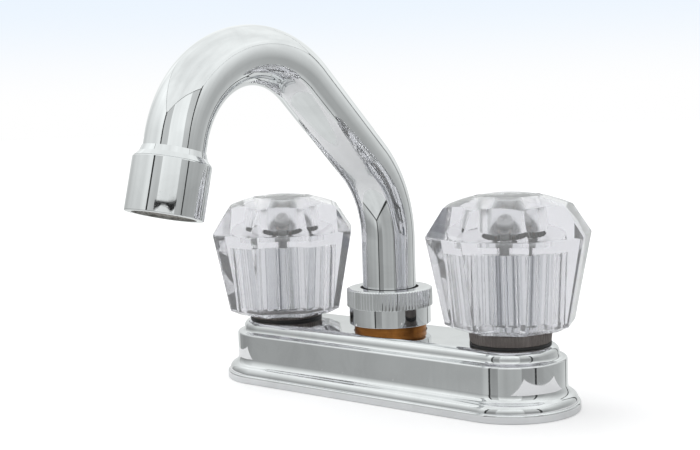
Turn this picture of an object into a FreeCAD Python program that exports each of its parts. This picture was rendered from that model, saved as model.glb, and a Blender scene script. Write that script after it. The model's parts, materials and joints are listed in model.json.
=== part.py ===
import FreeCAD, Part
import os
from math import atan2, cos, degrees, pi, radians, sin

# Two-handle deck mixer for a bathroom sink, as an assembly of separate pieces.
# Lengths are in millimetres and angles in degrees. The origin is the centre of the base on the sink
# deck, +Z points up, -Y points to the user and +X to the cold handle. The hot handle on the left is
# shut and the cold handle on the right is open, so the two rising stems stand at different heights.

Vector = FreeCAD.Vector
ORIGIN = Vector(0, 0, 0)
UP = Vector(0, 0, 1)

# Clearances
fixed_gap = 0.05            # radial, between screwed, pressed or brazed pieces
running_gap = 0.05          # radial, between a turning piece and its guide
loose_gap = 0.3             # radial, where a piece passes through a hole
snap_gap = 0.1              # radial, between a knob and what clips or screws into it
knob_ring_gap = 0.6         # radial, between a knob's cavity and the lock ring in it
barrel_gap = 0.9            # radial, between a bonnet's barrel and the knob's sleeve
nut_gap = 0.2               # between the union nut and the bare shoulder below it
thread_runout = 0.5         # axial room at the end of a thread or a socket
overcut = 1.0               # how far a cutter runs past the face that it starts from

# Base casing: a stadium with its round ends centred on the two valves
valve_spacing = 101.6
deck_height = 22.0
deck_radius = 16.2
deck_edge_round = 1.4
ledge_width = 2.6
ledge_edge_round = 0.9
ledge_cove = 0.8
ledge_drop = 4.2
wall_height = 8.4
foot_spread = 4.3
foot_lip_height = 2.3
foot_edge_round = 0.5
bead_round = 0.8
casing_wall = 1.8

# Gasket and fixings of the base
gasket_thickness = 1.4
sink_deck_thickness = 12.0
mounting_washer_radius = 17.5
mounting_washer_thickness = 1.6
mounting_nut_flats = 29.0
mounting_nut_height = 6.5
mounting_nut_chamfer = 1.0

# Valve bodies
shank_radius = 10.35
shank_length = 46.0
shank_thread_pitch = 1.814
shank_thread_depth = 0.75
shank_thread_stop = 3.4
inlet_bore = 6.5
neck_radius = 11.0
neck_rise = 3.4
neck_wall = 1.8
chamber_shoulder = 1.5
seat_web_depth = 17.0
seat_web_thickness = 4.0
seat_screw_radius = 5.6
seat_flange_radius = 7.0
seat_flange_height = 0.6
seat_lip_radius = 5.2
seat_lip_height = 0.4
seat_bore = 4.0

# Ribbed lock ring and the washer under it
ring_washer_inset = 0.3
ring_washer_thickness = 0.9
lock_ring_radius = 14.0
lock_ring_taper = 0.4
lock_ring_height = 4.1
lock_ring_ribs = 72
lock_ring_rib_depth = 0.25
lock_ring_chamfer = 0.5

# Bonnets
bonnet_washer_thickness = 0.5
bonnet_washer_inset = 0.2
bonnet_flange_inset = 0.6
bonnet_flange_height = 1.2
bonnet_plug_length = 7.4
bonnet_barrel_height = 8.9
bonnet_barrel_chamfer = 0.6
bonnet_flat_depth = 0.8

# Rising stems
stem_lead = 2.0
full_turns = 1.75
cold_turns_open = 1.5
stem_thread_radius = 5.95
stem_thread_length = 7.5
stem_chamfer = 0.5
stem_journal_radius = 4.0
stem_socket_depth = 5.0
stem_ring_drop = 5.0
stem_ring_section = 0.55
stem_ring_play = 0.2
spline_length = 9.5
spline_teeth = 16
spline_depth = 0.5
spline_inset = 0.1

# Jumper with the rubber washer and screw that close on the seat
washer_thickness = 2.4
washer_radius = 6.3
holder_wall = 0.6
holder_plate = 1.6
holder_rim_depth = 1.0
holder_spindle_radius = 3.0
holder_spindle_length = 4.5
washer_screw_head_radius = 3.2
washer_screw_head_height = 1.0
washer_screw_chamfer = 0.4
washer_screw_radius = 1.6
washer_screw_length = 5.0
washer_screw_slot_width = 0.8
washer_screw_slot_depth = 0.5

# Clear knobs; heights are counted up from a knob's own rim
knob_sides = 8
knob_gap = 2.3
knob_rim_radius = 17.8
knob_corner_radius = 22.2
knob_corner_height = 2.0
knob_girdle_radius = 28.2
knob_girdle_height = 31.4
knob_crown_radius = 22.0
knob_crown_rise = 9.4
knob_dome_rise = 4.8
knob_cavity_height = 27.1
knob_ribs = 24
knob_rib_radius = 0.6
knob_rib_foot = 3.5
knob_boss_radius = 7.5
knob_boss_bottom = 14.0
knob_well_radius = 8.9
knob_web_thickness = 2.4
hot_knob_turn = 17.0
cold_knob_turn = 0.0

# Pieces in the knobs
sleeve_wall = 0.9
sleeve_bottom = 3.3
sleeve_chamfer = 0.3
cap_radius = 11.0
cap_thickness = 1.5
cap_recess = 0.15
cap_skirt_depth = 3.5
cap_skirt_wall = 1.2
handle_screw_head_radius = 4.2
handle_screw_head_height = 2.5
handle_screw_head_chamfer = 0.8
handle_screw_radius = 2.4
handle_screw_length = 12.0
handle_screw_point = 0.5
handle_screw_slot_length = 5.5
handle_screw_slot_width = 1.1
handle_screw_slot_depth = 1.2

# Union nut
nut_height = 12.9
nut_lip = 2.3
nut_band_radius = 14.6
nut_knurl_radius = 15.35
nut_knurl_height = 6.7
nut_knurl_edge = 0.3
nut_knurls = 80
nut_knurl_depth = 0.35
nut_edge = 0.5
nut_hole_gap = 0.8

# Centre outlet body and the tubes that feed it
outlet_thread_radius = 12.2
outlet_wall = 2.35
outlet_shoulder_step = 0.7
outlet_shoulder_height = 2.4
outlet_shoulder_chamfer = 0.4
outlet_flange_step = 1.0
outlet_depth = 17.0
outlet_floor = 3.5
outlet_thread_chamfer = 0.6
crossover_radius = 4.0
crossover_wall = 0.8
crossover_socket = 2.0

# Collar of the spout and its seals
union_washer_thickness = 0.7
union_washer_inset = 0.3
collar_flange_height = 1.5
collar_flange_inset = 0.5
collar_barrel_length = 14.0
collar_bore = 7.2
collar_spigot_length = 8.0
collar_chamfer = 0.5
spout_rings = 2
spout_ring_drop = 5.0
spout_ring_section = 0.7
spout_ring_play = 0.25

# Gooseneck spout
spout_radius = 9.525
spout_wall = 0.9
spout_riser = 17.5
spout_lower_bend = 39.5
spout_lower_angle = 46.5
spout_straight = 39.0
spout_arch_bend = 33.0
spout_end_angle = 165.4
spout_tail = 13.3
spout_turn = -3.0

# Aerator
aerator_radius = 12.0
aerator_length = 16.7
aerator_cover = 6.0
aerator_thread_wall = 1.05
aerator_wall = 0.8
aerator_edge = 0.3
aerator_mouth_edge = 0.3
aerator_lip = 2.2
aerator_lip_height = 0.7
aerator_washer_thickness = 2.0
aerator_washer_bore = 8.0
end_cone_inset = 0.3        # radial, from the aerator's side to the cone's foot
end_cone_height = 3.4
end_cone_shoulder = 1.6     # height of its lower, wider slope
end_cone_waist = 0.8        # radial, from the tube to the top of that slope
end_cone_lip = 0.25         # radial, from the tube to the cone's upper edge
insert_hole_radius = 0.9
insert_inner_holes = 6
insert_inner_circle = 3.6
insert_outer_holes = 12
insert_outer_circle = 7.0
screen_thickness = 0.6
screen_pitch = 1.7
screen_hole = 1.15
screen_rim = 0.8

# Places and sizes that follow from the ones above
half_spacing = valve_spacing / 2
deck_underside = deck_height - casing_wall
wall_radius = deck_radius + ledge_width
ledge_height = deck_height - ledge_drop
wall_top_height = ledge_height - ledge_edge_round
wall_foot_height = wall_top_height - wall_height
foot_radius = wall_radius + foot_spread
shank_bottom = gasket_thickness - shank_length
chamber_radius = neck_radius + chamber_shoulder
chamber_bore = neck_radius - neck_wall
neck_top = deck_height + neck_rise
seat_web_bottom = deck_height - seat_web_depth
seat_web_top = seat_web_bottom + seat_web_thickness
seat_flange_top = seat_web_top + seat_flange_height
seat_top = seat_flange_top + seat_lip_height
cup_floor = seat_top + washer_thickness
lock_ring_bottom = deck_height + ring_washer_thickness
lock_ring_top = lock_ring_bottom + lock_ring_height
bonnet_seat = neck_top + bonnet_washer_thickness
bonnet_bottom = bonnet_seat - bonnet_plug_length
bonnet_flange_top = bonnet_seat + bonnet_flange_height
bonnet_top = bonnet_flange_top + bonnet_barrel_height
bonnet_barrel_radius = knob_boss_radius + fixed_gap - barrel_gap
stem_bottom = cup_floor + holder_plate
stem_thread_top = stem_bottom + stem_thread_length
bonnet_thread_top = stem_thread_top + stem_lead * full_turns + thread_runout
stem_ring_height = bonnet_top - stem_ring_drop
spline_tip_radius = stem_journal_radius - spline_inset
spline_root_radius = spline_tip_radius - spline_depth
cold_lift = stem_lead * cold_turns_open
knob_bottom = deck_height + knob_gap
knob_boss_foot = knob_bottom + knob_boss_bottom
knob_ceiling = knob_bottom + knob_cavity_height
knob_web_top = knob_ceiling + knob_web_thickness
knob_crown_height = knob_girdle_height + knob_crown_rise
knob_top = knob_bottom + knob_crown_height + knob_dome_rise
knob_dome_radius = (knob_crown_radius ** 2 + knob_dome_rise ** 2) / (2 * knob_dome_rise)
knob_cavity_radius = lock_ring_radius + knob_ring_gap
stem_top = knob_boss_foot + spline_length
handle_screw_bottom = knob_web_top - handle_screw_length
cap_skirt_radius = knob_well_radius - snap_gap
crossover_height = (seat_web_top + bonnet_bottom) / 2
outlet_bottom = deck_height - outlet_depth
outlet_shoulder_radius = outlet_thread_radius + outlet_shoulder_step
outlet_shoulder_top = deck_height + outlet_shoulder_height
outlet_radius = outlet_shoulder_radius + outlet_flange_step
outlet_bore = outlet_thread_radius - outlet_wall
nut_bottom = outlet_shoulder_top + nut_gap
nut_top = nut_bottom + nut_height
nut_knurl_bottom = nut_top - nut_knurl_height
nut_hole_radius = spout_radius + nut_hole_gap
nut_shoulder = nut_top - nut_lip
collar_top = nut_shoulder - union_washer_thickness
outlet_top = collar_top - collar_flange_height
collar_barrel_radius = outlet_bore - running_gap
end_fitting_radius = aerator_radius - aerator_thread_wall - fixed_gap
aerator_mouth = aerator_cover - aerator_length
screen_bottom = aerator_mouth + aerator_lip_height
insert_bottom = screen_bottom + screen_thickness
insert_radius = end_fitting_radius - snap_gap


def outline(start, steps):
    """Closed face in the XZ plane: a step is a point, or two points for an arc through the first."""
    edges = []
    here = Vector(start[0], 0, start[1])
    first = here
    for step in steps:
        if isinstance(step[0], tuple):
            middle = Vector(step[0][0], 0, step[0][1])
            there = Vector(step[1][0], 0, step[1][1])
            edges.append(Part.Arc(here, middle, there).toShape())
        else:
            there = Vector(step[0], 0, step[1])
            edges.append(Part.LineSegment(here, there).toShape())
        here = there
    edges.append(Part.LineSegment(here, first).toShape())
    return Part.Face(Part.Wire(edges))


def arc_step(centre, radius, middle_angle, end_angle):
    """Step for outline: the middle and end of an arc about a centre."""
    points = []
    for angle in (radians(middle_angle), radians(end_angle)):
        points.append((centre[0] + radius * cos(angle), centre[1] + radius * sin(angle)))
    return tuple(points)


def ogee_steps(low, high):
    """Steps for outline: two equal arcs, upright at both ends, from a low point to a high one."""
    width = low[0] - high[0]
    height = high[1] - low[1]
    radius = (width ** 2 + height ** 2) / (4 * width)
    sweep = degrees(atan2(height / 2, radius - width / 2))
    lower = arc_step((low[0] - radius, low[1]), radius, sweep / 2, sweep)
    upper = arc_step((high[0] + radius, high[1]), radius, 180 + sweep / 2, 180)
    return [lower, upper]


def turned(start, *steps):
    """Solid turned about the Z axis from points of (radius, height)."""
    return outline(start, steps).revolve(ORIGIN, UP, 360)


def ring(outer, inner, bottom, top):
    """Plain ring or bush."""
    return turned((inner, bottom), (outer, bottom), (outer, top), (inner, top))


def disc(radius, bottom, top):
    """Plain round bar."""
    return Part.makeCylinder(radius, top - bottom, Vector(0, 0, bottom))


def stadium(start, *steps):
    """Solid whose profile of (offset, height) runs round the two valve axes."""
    profile = outline(start, steps)
    profile.rotate(ORIGIN, UP, -90)
    right_end = profile.revolve(ORIGIN, UP, 180)
    right_end.translate(Vector(half_spacing, 0, 0))
    left_end = right_end.mirror(ORIGIN, Vector(1, 0, 0))
    profile.translate(Vector(-half_spacing, 0, 0))
    front = profile.extrude(Vector(valve_spacing, 0, 0))
    back = front.mirror(ORIGIN, Vector(0, 1, 0))
    return front.fuse([back, left_end, right_end]).removeSplitter()


def hexagon(flats, bottom, top):
    """Hexagonal bar, by its size across flats."""
    radius = flats / 2 / cos(pi / 6)
    corners = [Vector(radius * cos(k * pi / 3), radius * sin(k * pi / 3), bottom) for k in range(6)]
    return Part.Face(Part.makePolygon(corners + corners[:1])).extrude(Vector(0, 0, top - bottom))


def star(tip, root, teeth, bottom, top):
    """Splined bar with pointed teeth."""
    corners = []
    for k in range(2 * teeth):
        radius = tip if k % 2 == 0 else root
        corners.append(Vector(radius * cos(k * pi / teeth), radius * sin(k * pi / teeth), bottom))
    return Part.Face(Part.makePolygon(corners + corners[:1])).extrude(Vector(0, 0, top - bottom))


def round_grooves(radius, depth, count, bottom, top):
    """Upright half-round cutters spaced round a cylinder, for knurls and ribs."""
    cutters = []
    for k in range(count):
        angle = 2 * pi * k / count
        foot = Vector(radius * cos(angle), radius * sin(angle), bottom)
        cutters.append(Part.makeCylinder(depth, top - bottom, foot))
    return cutters


def at_valve(shape, side, lift=0.0, turn=0.0):
    """Copy of a shape built on the Z axis, set on the left (-1) or right (+1) valve."""
    placed = shape.copy()
    placed.rotate(ORIGIN, UP, turn)
    placed.translate(Vector(side * half_spacing, 0, lift))
    return placed


def crossover_bar(side, radius, near, far):
    """Bar along a crossover tube's axis, between two distances from the centre of the base."""
    start = Vector(side * near, 0, crossover_height)
    return Part.makeCylinder(radius, far - near, start, Vector(side, 0, 0))


def base_cover():
    """Chromed casing, open below, with holes for the two necks and the outlet."""
    bead = (foot_radius - bead_round, foot_lip_height)
    ogee_low = (foot_radius - bead_round, foot_lip_height + bead_round)
    ledge_corner = (wall_radius - ledge_edge_round, wall_top_height)
    cove = (deck_radius + ledge_cove, ledge_height + ledge_cove)
    deck_corner = (deck_radius - deck_edge_round, deck_height - deck_edge_round)
    outer = stadium(
        (0, 0),
        (foot_radius - foot_edge_round, 0),
        arc_step((foot_radius - foot_edge_round, foot_edge_round), foot_edge_round, -45, 0),
        (foot_radius, foot_lip_height),
        arc_step(bead, bead_round, 45, 90),
        *ogee_steps(ogee_low, (wall_radius, wall_foot_height)),
        (wall_radius, wall_top_height),
        arc_step(ledge_corner, ledge_edge_round, 45, 90),
        (deck_radius + ledge_cove, ledge_height),
        arc_step(cove, ledge_cove, 225, 180),
        (deck_radius, deck_height - deck_edge_round),
        arc_step(deck_corner, deck_edge_round, 45, 90),
        (0, deck_height))
    inner_foot = foot_radius - casing_wall
    inner_wall = wall_radius - casing_wall
    inner_deck = deck_radius - casing_wall
    inner = stadium(
        (0, -overcut),
        (inner_foot, -overcut),
        (inner_foot, foot_lip_height),
        (inner_wall, wall_foot_height - casing_wall),
        (inner_wall, ledge_height - casing_wall),
        (inner_deck, ledge_height - casing_wall),
        (inner_deck, deck_underside),
        (0, deck_underside))
    neck_hole = disc(neck_radius + loose_gap, deck_underside - overcut, deck_height + overcut)
    outlet_hole = disc(outlet_shoulder_radius + loose_gap, deck_underside - overcut, deck_height + overcut)
    return outer.cut([inner, at_valve(neck_hole, -1), at_valve(neck_hole, 1), outlet_hole])


def base_gasket():
    """Rubber sheet in the foot, flush with the sink deck, with a hole for each shank."""
    edge = foot_radius - casing_wall - loose_gap
    plate = stadium((0, 0), (edge, 0), (edge, gasket_thickness), (0, gasket_thickness))
    hole = disc(shank_radius + loose_gap, -overcut, gasket_thickness + overcut)
    return plate.cut([at_valve(hole, -1), at_valve(hole, 1)])


def mounting_washers():
    """Large washers under the sink deck, one on each shank."""
    top = -sink_deck_thickness
    one = ring(mounting_washer_radius, shank_radius + loose_gap, top - mounting_washer_thickness, top)
    return Part.makeCompound([at_valve(one, -1), at_valve(one, 1)])


def mounting_nuts():
    """Lock nuts under the washers, one on each shank."""
    top = -sink_deck_thickness - mounting_washer_thickness
    bottom = top - mounting_nut_height
    corner = mounting_nut_flats / 2 / cos(pi / 6)
    rounded = turned(
        (shank_radius + fixed_gap, bottom),
        (mounting_nut_flats / 2, bottom),
        (corner, bottom + mounting_nut_chamfer),
        (corner, top),
        (shank_radius + fixed_gap, top))
    one = rounded.common(hexagon(mounting_nut_flats, bottom, top))
    return Part.makeCompound([at_valve(one, -1), at_valve(one, 1)])


def shank_steps():
    """Points up the outside of the threaded shank, from its chamfered end to its plain top."""
    root = shank_radius - shank_thread_depth
    flank = shank_thread_pitch * 0.35
    crest = shank_thread_pitch - 2 * flank
    points = [(root, shank_bottom), (shank_radius, shank_bottom + shank_thread_depth)]
    height = shank_bottom + shank_thread_depth
    while height + shank_thread_pitch < gasket_thickness - shank_thread_stop:
        height += crest
        points.append((shank_radius, height))
        points.append((root, height + flank))
        height += 2 * flank
        points.append((shank_radius, height))
    points.append((shank_radius, gasket_thickness))
    return points


def valve_body(side):
    """Brass casting: inlet shank, seat web, chamber, port to the crossover and threaded neck."""
    screw_bore = seat_screw_radius + fixed_gap
    shape = turned(
        (inlet_bore, shank_bottom),
        *shank_steps(),
        (chamber_radius, gasket_thickness),
        (chamber_radius, deck_underside),
        (neck_radius, deck_underside),
        (neck_radius, neck_top),
        (chamber_bore, neck_top),
        (chamber_bore, seat_web_top),
        (screw_bore, seat_web_top),
        (screw_bore, seat_web_bottom),
        (inlet_bore, seat_web_bottom))
    socket_end = half_spacing - chamber_radius + crossover_socket
    port = crossover_bar(side, crossover_radius - crossover_wall, socket_end - overcut, half_spacing)
    socket = crossover_bar(side, crossover_radius + fixed_gap, 0, socket_end)
    return at_valve(shape, side).cut([port, socket])


def crossover_tube(side):
    """Copper tube brazed between a valve body and the outlet body."""
    near = outlet_radius - crossover_socket
    far = half_spacing - chamber_radius + crossover_socket
    bar = crossover_bar(side, crossover_radius, near, far)
    return bar.cut(crossover_bar(side, crossover_radius - crossover_wall, near, far))


def valve_seat():
    """Screwed-in seat with a raised flat lip."""
    return turned(
        (seat_bore, seat_web_bottom),
        (seat_screw_radius, seat_web_bottom),
        (seat_screw_radius, seat_web_top),
        (seat_flange_radius, seat_web_top),
        (seat_flange_radius, seat_flange_top),
        (seat_lip_radius, seat_flange_top),
        (seat_lip_radius, seat_top),
        (seat_bore, seat_top))


def ring_washer():
    """Black washer between the lock ring and the deck of the casing."""
    return ring(lock_ring_radius - ring_washer_inset, neck_radius + fixed_gap, deck_height, lock_ring_bottom)


def lock_ring():
    """Ribbed plastic ring screwed on the neck."""
    bore = neck_radius + fixed_gap
    foot = lock_ring_radius - lock_ring_taper
    rib_bottom = lock_ring_bottom + lock_ring_chamfer
    rib_top = lock_ring_top - lock_ring_chamfer
    shape = turned(
        (bore, lock_ring_bottom),
        (foot - lock_ring_chamfer, lock_ring_bottom),
        (foot, rib_bottom),
        (lock_ring_radius, rib_top),
        (lock_ring_radius - lock_ring_chamfer, lock_ring_top),
        (bore, lock_ring_top))
    return shape.cut(round_grooves(lock_ring_radius, lock_ring_rib_depth, lock_ring_ribs,
                                   rib_bottom, rib_top))


def bonnet_washer():
    """Fibre washer under the bonnet flange."""
    outer = neck_radius - bonnet_flange_inset - bonnet_washer_inset
    return ring(outer, chamber_bore + bonnet_washer_inset, neck_top, bonnet_seat)


def bonnet():
    """Brass headwork that guides the stem, with two flats on its barrel."""
    plug = chamber_bore - fixed_gap
    flange = neck_radius - bonnet_flange_inset
    thread_bore = stem_thread_radius + running_gap
    journal_bore = stem_journal_radius + running_gap
    shape = turned(
        (thread_bore, bonnet_bottom),
        (plug, bonnet_bottom),
        (plug, bonnet_seat),
        (flange, bonnet_seat),
        (flange, bonnet_flange_top),
        (bonnet_barrel_radius, bonnet_flange_top),
        (bonnet_barrel_radius, bonnet_top - bonnet_barrel_chamfer),
        (bonnet_barrel_radius - bonnet_barrel_chamfer, bonnet_top),
        (journal_bore, bonnet_top),
        (journal_bore, bonnet_thread_top),
        (thread_bore, bonnet_thread_top))
    reach = 2 * bonnet_barrel_radius
    flat = bonnet_barrel_radius - bonnet_flat_depth
    cutter = Part.makeBox(2 * reach, reach, bonnet_top, Vector(-reach, flat, bonnet_flange_top))
    return shape.cut([cutter, cutter.mirror(ORIGIN, Vector(0, 1, 0))])


def stem():
    """Rising stem with thread, journal, ring groove and splined top."""
    groove_root = stem_journal_radius - 2 * stem_ring_section
    groove_half = stem_ring_section + stem_ring_play
    journal_top = knob_boss_foot - thread_runout
    shape = turned(
        (0, stem_bottom),
        (stem_thread_radius - stem_chamfer, stem_bottom),
        (stem_thread_radius, stem_bottom + stem_chamfer),
        (stem_thread_radius, stem_thread_top),
        (stem_journal_radius, stem_thread_top),
        (stem_journal_radius, stem_ring_height - groove_half),
        (groove_root, stem_ring_height - groove_half),
        (groove_root, stem_ring_height + groove_half),
        (stem_journal_radius, stem_ring_height + groove_half),
        (stem_journal_radius, journal_top),
        (0, journal_top))
    spline = star(spline_tip_radius, spline_root_radius, spline_teeth, journal_top, stem_top)
    socket = disc(holder_spindle_radius + running_gap, stem_bottom - overcut, stem_bottom + stem_socket_depth)
    tapped = disc(handle_screw_radius + fixed_gap, handle_screw_bottom - thread_runout, stem_top + overcut)
    return shape.fuse(spline).cut([socket, tapped])


def stem_o_ring():
    """Rubber ring in the stem groove."""
    middle = stem_journal_radius - stem_ring_section
    return Part.makeTorus(middle, stem_ring_section, Vector(0, 0, stem_ring_height), UP)


def washer_holder():
    """Jumper: a cup for the rubber washer, with a spindle that the stem turns on."""
    bore = washer_screw_radius + fixed_gap
    cup = washer_radius + fixed_gap
    spindle_top = stem_bottom + holder_spindle_length
    return turned(
        (bore, cup_floor),
        (cup, cup_floor),
        (cup, cup_floor - holder_rim_depth),
        (cup + holder_wall, cup_floor - holder_rim_depth),
        (cup + holder_wall, stem_bottom),
        (holder_spindle_radius, stem_bottom),
        (holder_spindle_radius, spindle_top),
        (bore, spindle_top))


def seat_washer():
    """Rubber washer that closes the seat."""
    return ring(washer_radius, washer_screw_radius + fixed_gap, seat_top, cup_floor)


def washer_screw():
    """Screw that holds the rubber washer in its cup."""
    head_bottom = seat_top - washer_screw_head_height
    shape = turned(
        (0, head_bottom),
        (washer_screw_head_radius - washer_screw_chamfer, head_bottom),
        (washer_screw_head_radius, head_bottom + washer_screw_chamfer),
        (washer_screw_head_radius, seat_top),
        (washer_screw_radius, seat_top),
        (washer_screw_radius, seat_top + washer_screw_length),
        (0, seat_top + washer_screw_length))
    corner = Vector(-washer_screw_head_radius, -washer_screw_slot_width / 2, head_bottom)
    slot = Part.makeBox(2 * washer_screw_head_radius, washer_screw_slot_width,
                        washer_screw_slot_depth, corner)
    return shape.cut(slot)


def knob_corners(radius, height):
    """Corners of one ring of the knob's facets, closed, from the front corner round."""
    corners = []
    for k in range(knob_sides + 1):
        angle = 2 * pi * (k % knob_sides) / knob_sides
        corners.append(Vector(radius * sin(angle), -radius * cos(angle), knob_bottom + height))
    return corners


def knob_dome(recess=0.0):
    """Ball whose top is the knob's low dome, or lies a little under it."""
    return Part.makeSphere(knob_dome_radius, Vector(0, 0, knob_top - recess - knob_dome_radius))


def faceted_body():
    """Faceted outside of the knob, with its low domed top."""
    slope = (knob_girdle_radius - knob_crown_radius) / knob_crown_rise
    spare = 2 * knob_dome_rise
    rings = [
        knob_corners(knob_rim_radius, 0),
        knob_corners(knob_corner_radius, knob_corner_height),
        knob_corners(knob_girdle_radius, knob_girdle_height),
        knob_corners(knob_crown_radius - slope * spare, knob_crown_height + spare),
    ]
    faces = [Part.Face(Part.makePolygon(rings[0])), Part.Face(Part.makePolygon(rings[-1]))]
    for low, high in zip(rings, rings[1:]):
        for k in range(knob_sides):
            corners = [low[k], low[k + 1], high[k + 1], high[k], low[k]]
            faces.append(Part.Face(Part.makePolygon(corners)))
    return Part.Solid(Part.Shell(faces)).common(knob_dome())


def cap_seat():
    """Height of the seat that the index cap rests on."""
    dome_at_cap = knob_top - knob_dome_radius + (knob_dome_radius ** 2 - cap_radius ** 2) ** 0.5
    return dome_at_cap - cap_thickness


def knob():
    """Clear knob: ribbed cavity, splined boss, screw well and seat for the cap."""
    cavity = disc(knob_cavity_radius, knob_bottom - overcut, knob_ceiling)
    ribs = []
    for k in range(knob_ribs):
        angle = 2 * pi * k / knob_ribs
        foot = Vector(knob_cavity_radius * cos(angle), knob_cavity_radius * sin(angle),
                      knob_bottom + knob_rib_foot + knob_rib_radius)
        ribs.append(Part.makeCylinder(knob_rib_radius, knob_ceiling - foot.z, foot))
        ribs.append(Part.makeSphere(knob_rib_radius, foot))
    boss = disc(knob_boss_radius, knob_boss_foot, knob_ceiling)
    socket_top = stem_top + loose_gap
    socket = star(spline_tip_radius + fixed_gap, spline_root_radius + fixed_gap, spline_teeth,
                  knob_boss_foot - overcut, socket_top)
    screw_hole = disc(handle_screw_radius + snap_gap, socket_top - overcut, knob_web_top + overcut)
    well = disc(knob_well_radius, knob_web_top, knob_top + overcut)
    cap_hole = disc(cap_radius + snap_gap, cap_seat(), knob_top + overcut)
    return faceted_body().cut([cavity.cut(ribs + [boss]), socket, screw_hole, well, cap_hole])


def knob_sleeve():
    """Chromed sleeve pressed on the boss, hiding the bonnet."""
    bore = knob_boss_radius + fixed_gap
    outer = bore + sleeve_wall
    bottom = knob_bottom + sleeve_bottom
    return turned(
        (bore, bottom),
        (outer - sleeve_chamfer, bottom),
        (outer, bottom + sleeve_chamfer),
        (outer, knob_ceiling),
        (bore, knob_ceiling))


def index_cap():
    """Clear cap that closes the screw well, with a snap skirt."""
    seat = cap_seat()
    top = disc(cap_radius, seat, knob_top + overcut).common(knob_dome(cap_recess))
    skirt = ring(cap_skirt_radius, cap_skirt_radius - cap_skirt_wall, seat - cap_skirt_depth, seat)
    return top.fuse(skirt).removeSplitter()


def handle_screw():
    """Screw from the well into the stem top, with a cross slot."""
    head_top = knob_web_top + handle_screw_head_height
    shape = turned(
        (0, handle_screw_bottom),
        (handle_screw_radius - handle_screw_point, handle_screw_bottom),
        (handle_screw_radius, handle_screw_bottom + handle_screw_point),
        (handle_screw_radius, knob_web_top),
        (handle_screw_head_radius, knob_web_top),
        (handle_screw_head_radius, head_top - handle_screw_head_chamfer),
        (handle_screw_head_radius - handle_screw_head_chamfer, head_top),
        (0, head_top))
    corner = Vector(-handle_screw_slot_length / 2, -handle_screw_slot_width / 2,
                    head_top - handle_screw_slot_depth)
    slot = Part.makeBox(handle_screw_slot_length, handle_screw_slot_width, head_top, corner)
    cross = slot.copy()
    cross.rotate(ORIGIN, UP, 90)
    return shape.cut([slot, cross])


def outlet_body():
    """Brass centre body with the bare shoulder and the thread for the union nut."""
    shape = turned(
        (0, outlet_bottom),
        (outlet_radius, outlet_bottom),
        (outlet_radius, deck_underside),
        (outlet_shoulder_radius, deck_underside),
        (outlet_shoulder_radius, outlet_shoulder_top - outlet_shoulder_chamfer),
        (outlet_shoulder_radius - outlet_shoulder_chamfer, outlet_shoulder_top),
        (outlet_thread_radius, outlet_shoulder_top),
        (outlet_thread_radius, outlet_top - outlet_thread_chamfer),
        (outlet_thread_radius - outlet_thread_chamfer, outlet_top),
        (outlet_bore, outlet_top),
        (outlet_bore, outlet_bottom + outlet_floor),
        (0, outlet_bottom + outlet_floor))
    cutters = []
    for side in (-1, 1):
        cutters.append(crossover_bar(side, crossover_radius - crossover_wall, 0, outlet_radius))
        cutters.append(crossover_bar(side, crossover_radius + fixed_gap,
                                     outlet_radius - crossover_socket, outlet_radius + overcut))
    return shape.cut(cutters)


def union_nut():
    """Chromed nut with an upright knurl above a plain band."""
    bore = outlet_thread_radius + fixed_gap
    shape = turned(
        (bore, nut_bottom),
        (nut_band_radius - nut_edge, nut_bottom),
        (nut_band_radius, nut_bottom + nut_edge),
        (nut_band_radius, nut_knurl_bottom - nut_knurl_edge),
        (nut_knurl_radius, nut_knurl_bottom + nut_knurl_edge),
        (nut_knurl_radius, nut_top - nut_edge),
        (nut_knurl_radius - nut_edge, nut_top),
        (nut_hole_radius, nut_top),
        (nut_hole_radius, nut_shoulder),
        (bore, nut_shoulder))
    return shape.cut(round_grooves(nut_knurl_radius, nut_knurl_depth, nut_knurls,
                                   nut_knurl_bottom - nut_knurl_edge, nut_top - nut_edge))


def union_washer():
    """White low-friction washer under the shoulder of the nut."""
    outer = outlet_thread_radius - union_washer_inset
    return ring(outer, spout_radius + loose_gap, collar_top, nut_shoulder)


def in_spout_plane(shape):
    """Copy of a shape built in the XZ plane, with +X as the reach, turned to where the spout points."""
    placed = shape.copy()
    placed.rotate(ORIGIN, UP, spout_turn - 90)
    return placed


def spout_ring_heights():
    """Heights of the rubber rings on the collar's barrel."""
    return [outlet_top - spout_ring_drop * (k + 1) for k in range(spout_rings)]


def spout_collar():
    """Brass collar brazed in the foot of the spout, with grooves for its rubber rings."""
    bottom = outlet_top - collar_barrel_length
    groove_root = collar_barrel_radius - 2 * spout_ring_section
    groove_half = spout_ring_section + spout_ring_play
    flange = outlet_thread_radius - collar_flange_inset
    spigot = spout_radius - spout_wall - fixed_gap
    spigot_top = collar_top + collar_spigot_length
    steps = [
        (collar_barrel_radius - collar_chamfer, bottom),
        (collar_barrel_radius, bottom + collar_chamfer),
    ]
    for height in reversed(spout_ring_heights()):
        steps.append((collar_barrel_radius, height - groove_half))
        steps.append((groove_root, height - groove_half))
        steps.append((groove_root, height + groove_half))
        steps.append((collar_barrel_radius, height + groove_half))
    steps.append((collar_barrel_radius, outlet_top))
    steps.append((flange, outlet_top))
    steps.append((flange, collar_top))
    steps.append((spigot, collar_top))
    steps.append((spigot, spigot_top))
    steps.append((collar_bore, spigot_top))
    return turned((collar_bore, bottom), *steps)


def spout_o_rings():
    """The rubber rings in the collar's grooves."""
    middle = collar_barrel_radius - spout_ring_section
    rings = []
    for height in spout_ring_heights():
        rings.append(Part.makeTorus(middle, spout_ring_section, Vector(0, 0, height), UP))
    return Part.makeCompound(rings)


def spout_run(here, lean, length):
    """Straight edge of the spout's centre line that leans from upright, and its end point."""
    there = here + Vector(sin(radians(lean)), 0, cos(radians(lean))) * length
    return Part.LineSegment(here, there).toShape(), there


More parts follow.
